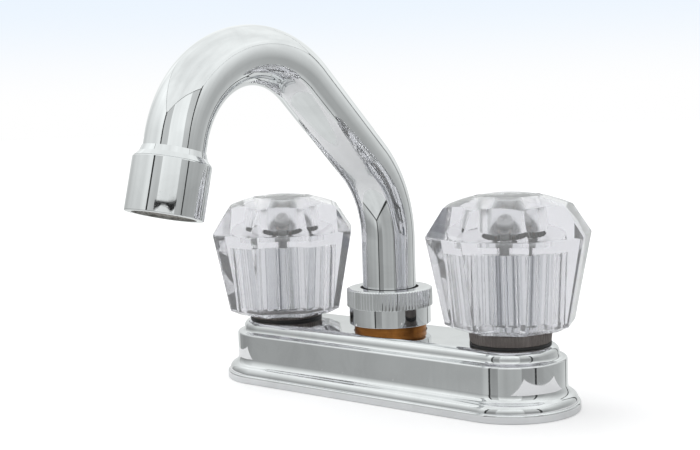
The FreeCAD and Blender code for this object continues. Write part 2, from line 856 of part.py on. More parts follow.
def spout_bend(here, lean, end_lean, bend):
    """Tangent arc of the spout's centre line from one lean to another, and its end point."""
    centre = here + Vector(cos(radians(lean)), 0, -sin(radians(lean))) * bend
    points = []
    for angle in (radians((lean + end_lean) / 2), radians(end_lean)):
        points.append(centre + Vector(-cos(angle), 0, sin(angle)) * bend)
    return Part.Arc(here, points[0], points[1]).toShape(), points[1]


def spout_path():
    """Edges of the spout's centre line in the XZ plane, and its end point."""
    riser, here = spout_run(Vector(0, 0, collar_top), 0, nut_top + spout_riser - collar_top)
    lower, here = spout_bend(here, 0, spout_lower_angle, spout_lower_bend)
    straight, here = spout_run(here, spout_lower_angle, spout_straight)
    arch, here = spout_bend(here, spout_lower_angle, spout_end_angle, spout_arch_bend)
    tail, here = spout_run(here, spout_end_angle, spout_tail)
    return [riser, lower, straight, arch, tail], here


def spout_tube():
    """Gooseneck tube of even bore."""
    edges, _ = spout_path()
    solids = []
    for radius in (spout_radius, spout_radius - spout_wall):
        circle = Part.Wire(Part.makeCircle(radius, Vector(0, 0, collar_top), UP))
        solids.append(Part.Wire(edges).makePipeShell([circle], True, False))
    return in_spout_plane(solids[0].cut(solids[1]))


def on_spout_end(shape):
    """Copy of a shape built with z = 0 at the tube's end and +Z back up the tube, set in place."""
    _, end = spout_path()
    placed = shape.copy()
    placed.rotate(ORIGIN, Vector(0, 1, 0), spout_end_angle - 180)
    placed.translate(end)
    return in_spout_plane(placed)


def spout_end_fitting():
    """Threaded ring brazed on the end of the tube, with a chromed cone above the thread."""
    bore = spout_radius + fixed_gap
    cone_foot = aerator_cover + fixed_gap
    return turned(
        (bore, 0),
        (end_fitting_radius, 0),
        (end_fitting_radius, cone_foot),
        (aerator_radius - end_cone_inset, cone_foot),
        (spout_radius + end_cone_waist, cone_foot + end_cone_shoulder),
        (spout_radius + end_cone_lip, cone_foot + end_cone_height),
        (bore, cone_foot + end_cone_height))


def aerator_housing():
    """Chromed cap with a thread above and a lip round its mouth."""
    thread_bore = aerator_radius - aerator_thread_wall
    chamber = aerator_radius - aerator_wall
    lip = aerator_radius - aerator_lip
    return turned(
        (lip, aerator_mouth),
        (aerator_radius - aerator_mouth_edge, aerator_mouth),
        (aerator_radius, aerator_mouth + aerator_mouth_edge),
        (aerator_radius, aerator_cover - aerator_edge),
        (aerator_radius - aerator_edge, aerator_cover),
        (thread_bore, aerator_cover),
        (thread_bore, -aerator_washer_thickness),
        (chamber, insert_bottom),
        (chamber, screen_bottom),
        (lip, screen_bottom))


def aerator_screen():
    """Square-holed screen that rests on the lip of the mouth."""
    plate = disc(insert_radius, screen_bottom, insert_bottom)
    reach = int(insert_radius / screen_pitch)
    half = screen_hole / 2
    holes = []
    for i in range(-reach, reach + 1):
        for j in range(-reach, reach + 1):
            x = i * screen_pitch
            y = j * screen_pitch
            if (abs(x) + half) ** 2 + (abs(y) + half) ** 2 < (insert_radius - screen_rim) ** 2:
                corner = Vector(x - half, y - half, screen_bottom - overcut)
                holes.append(Part.makeBox(screen_hole, screen_hole, screen_thickness + 2 * overcut, corner))
    return plate.cut(holes)


def aerator_insert():
    """Plastic flow straightener above the screen."""
    top = -aerator_washer_thickness
    hole = disc(insert_hole_radius, insert_bottom - overcut, top + overcut)
    holes = [hole]
    circles = ((insert_inner_holes, insert_inner_circle), (insert_outer_holes, insert_outer_circle))
    for count, distance in circles:
        for k in range(count):
            angle = 2 * pi * k / count
            holes.append(hole.translated(Vector(distance * cos(angle), distance * sin(angle), 0)))
    return disc(insert_radius, insert_bottom, top).cut(holes)


def aerator_washer():
    """Rubber washer between the end of the tube and the insert."""
    return ring(insert_radius, aerator_washer_bore, -aerator_washer_thickness, 0)


def build():
    """All nodes by name."""
    nodes = {
        "base_cover": base_cover(),
        "base_gasket": base_gasket(),
        "mounting_washers": mounting_washers(),
        "mounting_nuts": mounting_nuts(),
        "outlet_body": outlet_body(),
        "union_nut": union_nut(),
        "union_washer": union_washer(),
        "spout_tube": spout_tube(),
        "spout_collar": in_spout_plane(spout_collar()),
        "spout_o_rings": in_spout_plane(spout_o_rings()),
        "spout_end_fitting": on_spout_end(spout_end_fitting()),
        "aerator_housing": on_spout_end(aerator_housing()),
        "aerator_washer": on_spout_end(aerator_washer()),
        "aerator_insert": on_spout_end(aerator_insert()),
        "aerator_screen": on_spout_end(aerator_screen()),
    }
    fixed_pieces = {
        "valve_seat": valve_seat(),
        "ring_washer": ring_washer(),
        "lock_ring": lock_ring(),
        "bonnet_washer": bonnet_washer(),
        "bonnet": bonnet(),
    }
    lifting_pieces = {
        "washer_holder": washer_holder(),
        "seat_washer": seat_washer(),
        "washer_screw": washer_screw(),
    }
    turning_pieces = {
        "stem": stem(),
        "stem_o_ring": stem_o_ring(),
        "knob": knob(),
        "knob_sleeve": knob_sleeve(),
        "index_cap": index_cap(),
        "handle_screw": handle_screw(),
    }
    valves = (
        ("left", -1, 0.0, hot_knob_turn),
        ("right", 1, cold_lift, cold_knob_turn),
    )
    for name, side, lift, turn in valves:
        nodes["valve_body_" + name] = valve_body(side)
        nodes["crossover_tube_" + name] = crossover_tube(side)
        for piece, shape in fixed_pieces.items():
            nodes[piece + "_" + name] = at_valve(shape, side)
        for piece, shape in lifting_pieces.items():
            nodes[piece + "_" + name] = at_valve(shape, side, lift)
        for piece, shape in turning_pieces.items():
            nodes[piece + "_" + name] = at_valve(shape, side, lift, turn)
    return nodes


os.makedirs("parts", exist_ok=True)
for node, shape in build().items():
    shape.exportStep("parts/" + node + ".step")
    print(node, len(shape.Solids), "solids", round(shape.Volume, 1), "mm3", "valid", shape.isValid())
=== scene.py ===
import json
from math import asin, atan, atan2, cos, degrees, pi, radians, sin, sqrt

import bmesh
import bpy
from bpy.props import FloatProperty, FloatVectorProperty, IntProperty, PointerProperty
from bpy.types import NodeSocket, Operator, Panel, PropertyGroup
from mathutils import Matrix, Vector

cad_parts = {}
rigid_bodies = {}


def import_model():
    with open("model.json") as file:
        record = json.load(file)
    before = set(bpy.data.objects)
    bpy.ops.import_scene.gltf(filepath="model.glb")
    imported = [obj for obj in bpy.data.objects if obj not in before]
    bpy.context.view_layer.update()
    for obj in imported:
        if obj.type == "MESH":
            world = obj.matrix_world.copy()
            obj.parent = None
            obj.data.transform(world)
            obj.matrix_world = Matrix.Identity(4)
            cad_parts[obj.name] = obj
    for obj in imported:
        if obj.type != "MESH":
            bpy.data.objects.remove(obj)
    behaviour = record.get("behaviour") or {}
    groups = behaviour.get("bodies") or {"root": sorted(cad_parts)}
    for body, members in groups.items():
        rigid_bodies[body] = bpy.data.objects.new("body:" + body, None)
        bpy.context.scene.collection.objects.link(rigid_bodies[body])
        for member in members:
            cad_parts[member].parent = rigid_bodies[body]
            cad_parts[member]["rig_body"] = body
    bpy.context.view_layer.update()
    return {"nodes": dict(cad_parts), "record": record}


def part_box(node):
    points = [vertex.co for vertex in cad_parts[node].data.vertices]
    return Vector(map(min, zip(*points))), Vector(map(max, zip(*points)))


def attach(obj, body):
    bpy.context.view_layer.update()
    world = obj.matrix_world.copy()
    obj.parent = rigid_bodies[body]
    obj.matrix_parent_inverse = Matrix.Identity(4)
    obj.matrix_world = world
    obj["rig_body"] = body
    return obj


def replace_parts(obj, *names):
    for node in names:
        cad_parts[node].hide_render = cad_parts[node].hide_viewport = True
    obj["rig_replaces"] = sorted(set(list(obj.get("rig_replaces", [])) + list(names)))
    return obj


bl_info = {
    "name": "Two-handle sink mixer",
    "version": (1, 0, 0),
    "blender": (4, 5, 0),
    "location": "View3D > Sidebar > Mixer",
    "description": "Dresses a deck mixer with chromed base and spout and clear faceted knobs",
    "category": "Object",
}

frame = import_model()
nodes = frame["nodes"]

MM = 0.001
SIDES = ("left", "right")
ROUND_STEPS = 128  # Round a smooth turned piece
GROOVE_STEPS = 6  # Across each groove of a knurled or ribbed one
RIB_COLUMNS = 16  # From one rib in a knob's hollow to the next
DOME_STEPS = 10  # From the edge of a dome to its middle


def low(node):
    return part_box(node)[0]


def high(node):
    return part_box(node)[1]


def middle(node):
    return (low(node) + high(node)) / 2


def half_width(node):
    return (high(node).x - low(node).x) / 2


def extent(node):
    """Radius, bottom and top of an upright round piece."""
    return half_width(node), low(node).z, high(node).z


# Sizes and colours that a user would change

def length(description, millimetres):
    return FloatProperty(description=description, default=millimetres * MM, unit="LENGTH",
                         precision=5)


def bearing(description, default):
    return FloatProperty(description=description, default=radians(default), subtype="ANGLE")


def whole(description, default):
    return IntProperty(description=description, default=default)


def factor(description, default):
    return FloatProperty(description=description, default=default, subtype="FACTOR", min=0, max=1)


def colour(description, default):
    return FloatVectorProperty(description=description, default=default, subtype="COLOR",
                               min=0, max=1)


def spot(description, default):
    return FloatVectorProperty(description=description, default=default, subtype="XYZ",
                               unit="LENGTH", size=len(default))


def named(group):
    """Name each property of a group after its field."""
    for field, deferred in group.__annotations__.items():
        deferred.keywords["name"] = field.replace("_", " ").capitalize()
    return group


@named
class BaseCasingSizes(PropertyGroup):
    wall_radius: length("Straight wall, from the line through the valves", 18.8)
    foot_height: length("Where the foot's curve meets the wall", 8.5)
    foot_lip_height: length("Upright rim of the foot", 2.3)
    foot_edge_round: length("Lower edge of the foot", 0.5)
    bead_round: length("Upper edge of the foot's rim", 0.8)
    ledge_drop: length("From the deck down to the ledge round it", 4.2)
    ledge_edge_round: length("Between the wall and the ledge", 0.9)
    ledge_cove: length("Hollow between the ledge and the deck's side", 1.4)
    deck_radius: length("Side of the deck, from the line through the valves", 16.2)
    deck_edge_round: length("Edge of the raised deck", 2.7)
    shell: length("Thickness of the casing", 1.8)
    neck_hole: length("Radius of each valve's hole in the deck", 11.3)
    outlet_hole: length("Radius of the outlet's hole in the deck", 13.2)
    end_steps: whole("Steps round each half-round end", 96)


@named
class KnobSizes(PropertyGroup):
    sides: whole("Facets round the knob", 8)
    rim_radius: length("Corners of the lowest edge", 17.8)
    corner_radius: length("Corners where the sides start", 22.2)
    corner_height: length("Height where the sides start", 2)
    girdle_height: length("Height of the widest corners", 31.4)
    crown_radius: length("Corners of the crown's upper edge", 22)
    crown_rise: length("From the widest corners up to the crown's", 9.4)
    dome_rise: length("From the crown's corners up to the top", 4.8)
    edge_round: length("Width of the rounding of the facets' edges", 0.22)
    cavity_radius: length("Hollow from below", 14.6)
    cavity_height: length("Depth of the hollow", 27.1)
    rib_count: whole("Ribs down the cavity's wall", 24)
    rib_radius: length("Half-round ribs with round lower ends", 0.6)
    rib_foot: length("Height of the ribs' lower ends", 3.5)
    boss_radius: length("Boss that the sleeve is pressed on", 7.5)
    boss_foot: length("Height of the boss's lower end", 14)
    web: length("From the cavity up to the screw well", 2.4)
    well_radius: length("Well over the screw", 8.9)
    screw_hole_radius: length("Hole for the screw", 2.5)
    socket_radius: length("Tips of the splined socket's teeth", 3.95)
    socket_depth: length("Depth of the splined socket", 9.8)
    tooth_depth: length("Depth of the socket's teeth", 0.5)
    tooth_count: whole("Teeth of the socket", 16)
    cap_gap: length("Room round the cap", 0.1)
    sleeve_wall: length("Thickness of the bright sleeve", 0.9)
    contact_gap: length("Air left where the sleeve touches the knob", 0.04)
    sleeve_chamfer: length("Lower edge of the sleeve", 0.3)
    cap_recess: length("How far the cap lies under the dome", 0.15)
    cap_rim: length("Thickness of the cap at its rim", 2)
    cap_edge: length("Rounding of the cap's upper edge", 0.15)
    cap_skirt_radius: length("Snap skirt under the cap", 8.8)
    cap_skirt_wall: length("Thickness of the snap skirt", 1.2)
    hot_turn: bearing("From a corner straight in front", 17)
    cold_turn: bearing("From a corner straight in front", 0.0)


@named
class RingSizes(PropertyGroup):
    knurls: whole("Grooves of the nut's knurl", 80)
    knurl_depth: length("Depth of the nut's grooves", 0.35)
    knurl_band: length("Height of the knurled band, from the top", 6.7)
    band_radius: length("Plain band below the knurl", 14.6)
    nut_edge: length("Chamfer of the nut's edges", 0.5)
    nut_lip: length("Thickness of the lip over the collar", 2.3)
    nut_hole: length("Hole round the tube", 10.325)
    nut_bore: length("Threaded bore of the nut", 12.25)
    lock_ribs: whole("Ribs round a lock ring", 72)
    lock_rib_depth: length("Depth between a lock ring's ribs", 0.25)
    lock_taper: length("How much narrower its foot is", 0.4)
    lock_chamfer: length("Upper edge of a lock ring", 0.5)
    lock_bore: length("Threaded bore of a lock ring", 11.05)


@named
class SpoutSizes(PropertyGroup):
    tube_radius: length("Outside of the tube", 9.525)
    tube_wall: length("Thickness of the tube", 0.9)
    riser: length("Upright part below the first bend", 20.5)
    lower_bend: length("Radius of the first bend", 39.5)
    straight: length("Leaning straight part", 39)
    arch_bend: length("Radius of the arch", 33)
    tail: length("Straight part before the outlet", 13.3)
    outlet_radius: length("Outside of the aerator", 12)
    outlet_length: length("Length of the aerator", 16.7)
    outlet_cover: length("How far it reaches over the tube", 6)
    outlet_edge: length("Chamfer of its upper edge", 0.3)
    mouth_edge: length("Rounding of its lower edge", 0.3)
    mouth_lip: length("Width of the lip round the mouth", 2.2)
    mouth_lip_height: length("Thickness of that lip", 0.7)
    thread_wall: length("Aerator's wall round the tube's end", 1.05)
    cone_gap: length("Between the cone, the aerator and the tube", 0.05)
    cone_foot: length("Radius of the foot of the cone over the aerator", 11.7)
    cone_waist: length("Radius where the cone gets steeper", 10.325)
    cone_shoulder: length("Height of the cone's waist", 1.6)
    cone_top: length("Radius of the cone's upper edge", 9.775)
    cone_height: length("Height of the cone", 3.4)
    lower_lean: bearing("Lean after the first bend", 46.5)
    end_lean: bearing("Lean at the outlet", 165.4)
    turn: bearing("Swing of the spout from straight ahead", -3)


@named
class Finishes(PropertyGroup):
    chrome: colour("Plated brass", (0.8, 0.81, 0.82))
    clear: colour("Knobs and caps", (0.985, 0.99, 0.995))
    lock_ring: colour("Dark plastic", (0.105, 0.09, 0.083))
    raw_brass: colour("Unplated brass that shows under the nut", (0.52, 0.21, 0.05))


@named
class StudioSettings(PropertyGroup):
    fill: factor("Light from all round", 0.85)
    floor_shade: factor("Reflectance of the floor", 0.8)
    floor_lift: factor("Makes the lit floor white", 0.3)
    sky: colour("Top of the background", (0.84, 0.915, 1.0))
    cloth: colour("Tint of the tent's cloth", (0.97, 1.0, 0.99))
    tent_size: length("Width of the light tent that the metal mirrors", 600)
    tent_height: length("From the tent's floor to its roof", 488)
    tent_turn: bearing("Turn of the tent's open front", 36.9)
    tent_floor: length("How far the tent's floor lies below the part", 166)
    tent_centre: spot("Middle of the tent", (0.027, 0.002))
    seam: length("Half width of the tent's upright seams", 20)
    hem: length("Half width of the seams round the tent's floor", 11)
    roof_hem: length("Half width of the seams round the tent's roof", 2)
    cloth_through_front: colour("What clear plastic shows of the front", (0.76, 0.765, 0.8))
    cloth_through_gap: colour("What clear plastic shows of the front's dark gaps",
                              (0.01, 0.02, 0.05))
    cloth_through_back: colour("What clear plastic shows of the back", (0.82, 0.82, 0.86))
    azimuth: bearing("Camera's direction, from straight in front", 39.76)
    elevation: bearing("Camera's height over the horizon", 5.65)
    roll: bearing("Camera's tilt", -1.71)
    camera_place: spot("Where the camera stands", (0.27626, -0.35315, 0.1044))
    lens: FloatProperty(description="Focal length in millimetres", default=64.82, unit="CAMERA")


# Rings of vertices: each vertex keeps the centre and the direction that it was started with

def circle(bm, radius, steps, matrix):
    """Ring of edges with no face in it; returns its vertices and its edges."""
    verts = bmesh.ops.create_circle(bm, cap_ends=False, radius=radius, segments=steps,
                                    matrix=matrix)["verts"]
    return verts, list(dict.fromkeys(edge for vert in verts for edge in vert.link_edges))


def edges_in(geometry):
    return [item for item in geometry if isinstance(item, bmesh.types.BMEdge)]


def extrude(bm, edges):
    """Extrude edges where they are; returns the new vertices and the new edges."""
    made = bmesh.ops.extrude_edge_only(bm, edges=edges)["geom"]
    return [item for item in made if isinstance(item, bmesh.types.BMVert)], edges_in(made)


def start_ring(bm, radius, height, steps, turn=0.0, apart=0.0):
    """First ring; parted into two half rings where their centres lie apart."""
    layers = bm.verts.layers.float_vector
    for name in ("hub", "spoke"):
        layers.new(name)
    verts, edges = circle(bm, 1, steps, Matrix.Rotation(turn, 4, "Z"))
    for vert in verts:
        vert[layers["spoke"]] = vert.co.normalized()
        vert[layers["hub"]] = (apart if vert.co.x > 0 else -apart, 0, 0)
        put(bm, vert, radius, height)
    return edges


def put(bm, vert, radius, height):
    """Move a vertex to a radius and height, each a number or worked out from its direction."""
    layers = bm.verts.layers.float_vector
    spoke = vert[layers["spoke"]]
    angle = atan2(spoke.y, spoke.x)
    out = radius(angle) if callable(radius) else radius
    up = height(angle) if callable(height) else height
    vert.co = vert[layers["hub"]] + spoke * out + Vector((0, 0, up))


def grow(bm, edges, *rings):
    """Extrude a ring of edges through rings of (radius, height) and return the last one."""
    for radius, height in rings:
        verts, edges = extrude(bm, edges)
        for vert in verts:
            put(bm, vert, radius, height)
    return edges


def turned_piece(rings, steps=ROUND_STEPS):
    """Closed ring-shaped mesh through all the rings of (radius, height)."""
    bm = bmesh.new()
    first = start_ring(bm, *rings[0], steps)
    last = grow(bm, first, *rings[1:])
    bmesh.ops.bridge_loops(bm, edges=first + last)
    bmesh.ops.recalc_face_normals(bm, faces=bm.faces)
    return bm


def turned_object(name, node, x, rings, steps=ROUND_STEPS, **look):
    """Turned piece that stands upright at a place along the base."""
    bm = turned_piece(rings, steps)
    move(bm, x)
    finish_piece(bm, name, node, **look)


def arc(radius, height, bend, start, end, steps=6):
    """Rings along an arc about (radius, height), from one angle to another in degrees."""
    rings = []
    for k in range(steps + 1):
        angle = radians(start + (end - start) * k / steps)
        rings.append((radius + bend * cos(angle), height + bend * sin(angle)))
    return rings


def flutes(radius, depth, count):
    """Radius of a ring with round grooves, by direction."""
    return lambda angle: radius - depth * (0.5 - 0.5 * cos(count * angle))


def teeth(tip, root, count):
    """Radius of a ring with straight-sided teeth, by direction."""
    def radius(angle):
        place = (count * angle / (2 * pi)) % 1
        return root + (tip - root) * abs(1 - 2 * place)
    return radius


def dome_ball(sizes):
    """Radius of the ball that a knob's dome is part of."""
    return (sizes.crown_radius ** 2 + sizes.dome_rise ** 2) / (2 * sizes.dome_rise)


def round_edges(bm, width, least, chosen, steps=2):
    """Bevel the chosen edges that turn by at least so many degrees."""
    edges = [edge for edge in bm.edges if len(edge.link_faces) == 2
             and edge.calc_face_angle() > radians(least) and chosen(edge)]
    bmesh.ops.bevel(bm, geom=edges, offset=width, segments=steps, profile=0.5, affect="EDGES",
                    material=-1, clamp_overlap=True)


def upright(face):
    nearly_level = 0.1
    return abs(face.normal.z) < nearly_level


def mark_inner(bm, chosen):
    """Give the faces that are chosen, by face and middle, to the piece's inner material."""
    for face in bm.faces:
        if chosen(face, face.calc_center_median()):
            face.material_index = 1


def move(bm, x, turn=0.0):
    """Turn a mesh about the upright axis, then move it along the base."""
    bmesh.ops.rotate(bm, verts=bm.verts, cent=(0, 0, 0), matrix=Matrix.Rotation(turn, 3, "Z"))
    bmesh.ops.translate(bm, verts=bm.verts, vec=(x, 0, 0))


def slot_of(node):
    """The record's material slot of a CAD node."""
    for part in frame["record"]["subparts"]:
        if part["node"] == node:
            return part["material_slot"]
    raise RuntimeError(node + " is in no material slot")


def new_object(bm, name, *looks):
    """Make an object of a mesh, whose place is in the mesh, with its materials."""
    mesh = bpy.data.meshes.new(name)
    bm.to_mesh(mesh)
    bm.free()
    for material in looks:
        mesh.materials.append(material)
    made = bpy.data.objects.new(name, mesh)
    bpy.context.scene.collection.objects.link(made)
    return made


def finish_piece(bm, name, replaced, sharp=38, inner=None):
    """Make the object that stands for a CAD node; inner is the material of its marked faces."""
    looks = [finish_of(replaced)] + ([materials[inner]] if inner else [])
    piece = new_object(bm, name, *looks)
    piece.data.shade_smooth()
    piece.data.set_sharp_from_angle(angle=radians(sharp))
    normals = piece.modifiers.new("Even shading", "WEIGHTED_NORMAL")
    normals.keep_sharp = True
    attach(piece, nodes[replaced]["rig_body"])
    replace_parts(piece, replaced)
    slot_of(replaced)


# Materials

class Signal:
    """Output of a shader node. Reckoning with it adds Math nodes and gives their output."""

    def __init__(self, node, output=0):
        self.tree = node.id_data
        self.socket = node.outputs[output]

    def __add__(self, other):
        return calc("ADD", self, other)

    def __mul__(self, other):
        return calc("MULTIPLY", self, other)

    def __lt__(self, other):
        return calc("LESS_THAN", self, other)

    def __gt__(self, other):
        return calc("GREATER_THAN", self, other)

    def __abs__(self):
        return calc("ABSOLUTE", self)

    def spread(self, start, end, to_start=0.0, to_end=1.0, smooth=False):
        """Value that goes from one to another while this one goes from start to end."""
        made = add(self.tree, "MapRange",
                   interpolation_type="SMOOTHSTEP" if smooth else "LINEAR")
        for socket, value in zip(made.inputs, (self, start, end, to_start, to_end)):
            feed(value, socket)
        return Signal(made)

    def band(self, middle, half, soft):
        """Mask that is 1 where the value is no further than half from the middle."""
        away = abs(calc("SUBTRACT", self, middle))
        return away.spread(half - soft, half + soft, 1.0, 0.0, smooth=True)

    def blend(self, mask, masked):
        """Value that changes to another one where the mask is 1."""
        made = add(self.tree, "Mix")
        for number, value in ((0, mask), (2, self), (3, masked)):
            feed(value, made.inputs[number])
        return Signal(made)

    def colours(self, first, second):
        """Colour that goes from the first to the second while this value goes from 0 to 1."""
        made = add(self.tree, "Mix", data_type="RGBA")
        for number, value in ((0, self), (6, first), (7, second)):
            feed(value if isinstance(value, Signal) else (*value, 1), made.inputs[number])
        return Signal(made, 2)


def feed(value, socket):
    """Link a socket to a signal or another socket, or set its value."""
    if isinstance(value, Signal):
        value = value.socket
    if isinstance(value, NodeSocket):
        socket.id_data.links.new(value, socket)
    else:
        socket.default_value = value


def add(tree, kind, **given):
    """Add a shader node: lower-case names are its settings, the others inputs, _ for a space."""
    made = tree.nodes.new("ShaderNode" + kind)
    for name, value in given.items():
        if name.islower():
            setattr(made, name, value)
        else:
            feed(value, made.inputs[name.replace("_", " ")])
    return made


def calc(operation, *values, clamp=False):
    """Output of a Math node. At least one of the values is a signal."""
    tree = next(value.tree for value in values if isinstance(value, Signal))
    made = add(tree, "Math", operation=operation, use_clamp=clamp)
    for socket, value in zip(made.inputs, values):
        feed(value, socket)
    return Signal(made)


def noise(tree, place, scale, detail=2.0, **given):
    return Signal(add(tree, "TexNoise", Vector=place, Scale=scale, Detail=detail, **given))


def noise_along(value, detail):
    """Noise that changes along one value."""
    return Signal(add(value.tree, "TexNoise", noise_dimensions="1D", W=value, Scale=1.0,
                      Detail=detail))


def place_on_object(tree):
    return tree.nodes.new("ShaderNodeTexCoord").outputs["Object"]


def axes(tree, place):
    """X, Y and Z of a place."""
    parts = add(tree, "SeparateXYZ", Vector=place)
    return [Signal(parts, axis) for axis in "XYZ"]


def wear_group():
    """Handling marks: a mask of wiped smudges, one of specks, and a faintly uneven normal."""
    tree = bpy.data.node_groups.new("Handling marks", "ShaderNodeTree")
    for title, default in (("Scale", 60.0), ("Unevenness", 0.05)):
        socket = tree.interface.new_socket(name=title, in_out="INPUT",
                                           socket_type="NodeSocketFloat")
        socket.default_value = default
    for title, kind in (("Smudges", "Float"), ("Specks", "Float"), ("Normal", "Vector")):
        tree.interface.new_socket(name=title, in_out="OUTPUT", socket_type="NodeSocket" + kind)
    given = tree.nodes.new("NodeGroupInput")
    result = tree.nodes.new("NodeGroupOutput").inputs
    scale = Signal(given, "Scale")
    place = place_on_object(tree)
    broad = noise(tree, place, scale, 5.0, Roughness=0.6, Distortion=1.2)
    feed(broad.spread(0.35, 0.72, smooth=True), result["Smudges"])
    feed(noise(tree, place, scale * 22.0).spread(0.66, 0.74), result["Specks"])
    bump = add(tree, "Bump", Strength=given.outputs["Unevenness"], Distance=MM,
               Height=noise(tree, place, scale * 1.5))
    feed(bump.outputs[0], result["Normal"])
    return tree


def empty_material(name):
    """New material and its node tree, with the Principled BSDF that it starts with."""
    material = bpy.data.materials.new(name)
    material.use_nodes = True
    return material, material.node_tree


def new_material(name, fresh, worn, rough, worn_rough, scale, unevenness, pits=0.0, rings=0.0,
                 **constants):
    """Material that goes from fresh to worn in smudges, and in tool rings where it has some.

    Pits add to the roughness in specks; the constants are set on the shader's own sockets."""
    material, tree = empty_material(name)
    marks = add(tree, "Group",
                node_tree=bpy.data.node_groups.get("Handling marks") or wear_group(),
                Scale=scale, Unevenness=unevenness)
    mask = Signal(marks, "Smudges")
    if rings:
        height = axes(tree, place_on_object(tree))[2]
        mask = calc("MULTIPLY_ADD", noise_along(height * rings, 3.0), 0.5, mask * 0.6, clamp=True)
    roughness = mask.spread(0, 1, rough, worn_rough)
    if pits:
        roughness = Signal(marks, "Specks") * pits + roughness
    inputs = tree.nodes["Principled BSDF"].inputs
    feed(mask.colours(fresh, worn), inputs["Base Color"])
    feed(roughness, inputs["Roughness"])
    feed(marks.outputs["Normal"], inputs["Normal"])
    for title, value in constants.items():
        inputs[title.replace("_", " ")].default_value = value
    return material


def chrome(colours):
    """Polished plating with wiped smudges and a few pits."""
    dull = tuple(0.93 * c for c in colours.chrome)
    return new_material("Chrome plating", colours.chrome, dull, 0.015, 0.055, 55, 0.03, pits=0.12,
                        Metallic=1)


def clear_plastic(name, colours, clarity, rough, worn_rough):
    """Clear moulded plastic, faintly wavy from its mould."""
    worn = tuple(0.985 * c for c in colours.clear)
    return new_material(name, colours.clear, worn, rough, worn_rough, 45, 0.02,
                        Transmission_Weight=clarity, IOR=1.49)


def moulded(name, fresh, worn, rough, scale=90, unevenness=0.25):
    """Moulded or pressed matt stuff: plastic, rubber and fibre."""
    return new_material(name, fresh, worn, rough, rough + 0.15, scale, unevenness)


def bare_metal(name, fresh, stained, rough, rings=2400.0):
    """Machined metal: fine rings left by the tool, stains and dull patches."""
    return new_material(name, fresh, stained, rough, rough + 0.22, 70, 0.1, rings=rings,
                        Metallic=1)


def make_materials(colours):
    """One material for each slot of the record, and the knobs' matt inner faces."""
    black, worn_black = (0.012, 0.012, 0.013), (0.03, 0.029, 0.028)
    rubber, worn_rubber = (0.018, 0.018, 0.019), (0.04, 0.039, 0.037)
    steel, worn_steel = (0.93, 0.93, 0.92), (0.84, 0.84, 0.83)
    mesh, stained_mesh = (0.42, 0.40, 0.37), (0.25, 0.22, 0.19)
    ring, fibre = colours.lock_ring, (0.36, 0.08, 0.05)
    return {
        "chrome": chrome(colours),
        "clear_plastic": clear_plastic("Clear plastic", colours, 0.88, 0.0, 0.04),
        "matt_clear_plastic": clear_plastic("Matt clear plastic", colours, 0.95, 0.18, 0.24),
        "dark_plastic": moulded("Dark ribbed plastic", ring, (0.17, 0.15, 0.14), 0.38),
        "black_plastic": moulded("Black plastic", black, worn_black, 0.45),
        "white_plastic": moulded("White plastic", (0.80, 0.80, 0.77), (0.70, 0.69, 0.65), 0.4),
        "red_fibre": moulded("Red fibre", fibre, (0.22, 0.05, 0.035), 0.75, 200, 0.5),
        "black_rubber": moulded("Black rubber", rubber, worn_rubber, 0.6),
        "brass": bare_metal("Raw brass", colours.raw_brass, (0.15, 0.06, 0.02), 0.3),
        "copper": bare_metal("Copper tube", (0.80, 0.36, 0.22), (0.45, 0.19, 0.12), 0.25),
        "zinc_steel": bare_metal("Zinc plated steel", steel, worn_steel, 0.6),
        "stainless": bare_metal("Stainless mesh", mesh, stained_mesh, 0.3, 9000),
    }


def finish_of(node):
    """Material for a CAD node, made once for each slot; the screws aren't dark as the mesh is."""
    if not materials:
        materials.update(make_materials(bpy.context.scene.mixer_finishes))
    return materials["zinc_steel" if node.startswith("handle_screw") else slot_of(node)]


materials = {}


# Pieces

def ogee(foot, wall):
    """Rings of the foot's curve: two equal arcs, upright at both ends."""
    inward = foot[0] - wall[0]
    rise = wall[1] - foot[1]
    sweep = 2 * atan(inward / rise)
    bend = rise / (2 * sin(sweep))
    turn = degrees(sweep)
    return (arc(foot[0] - bend, foot[1], bend, 0, turn, 8)
            + arc(wall[0] + bend, wall[1], bend, 180 + turn, 180, 8)[1:])


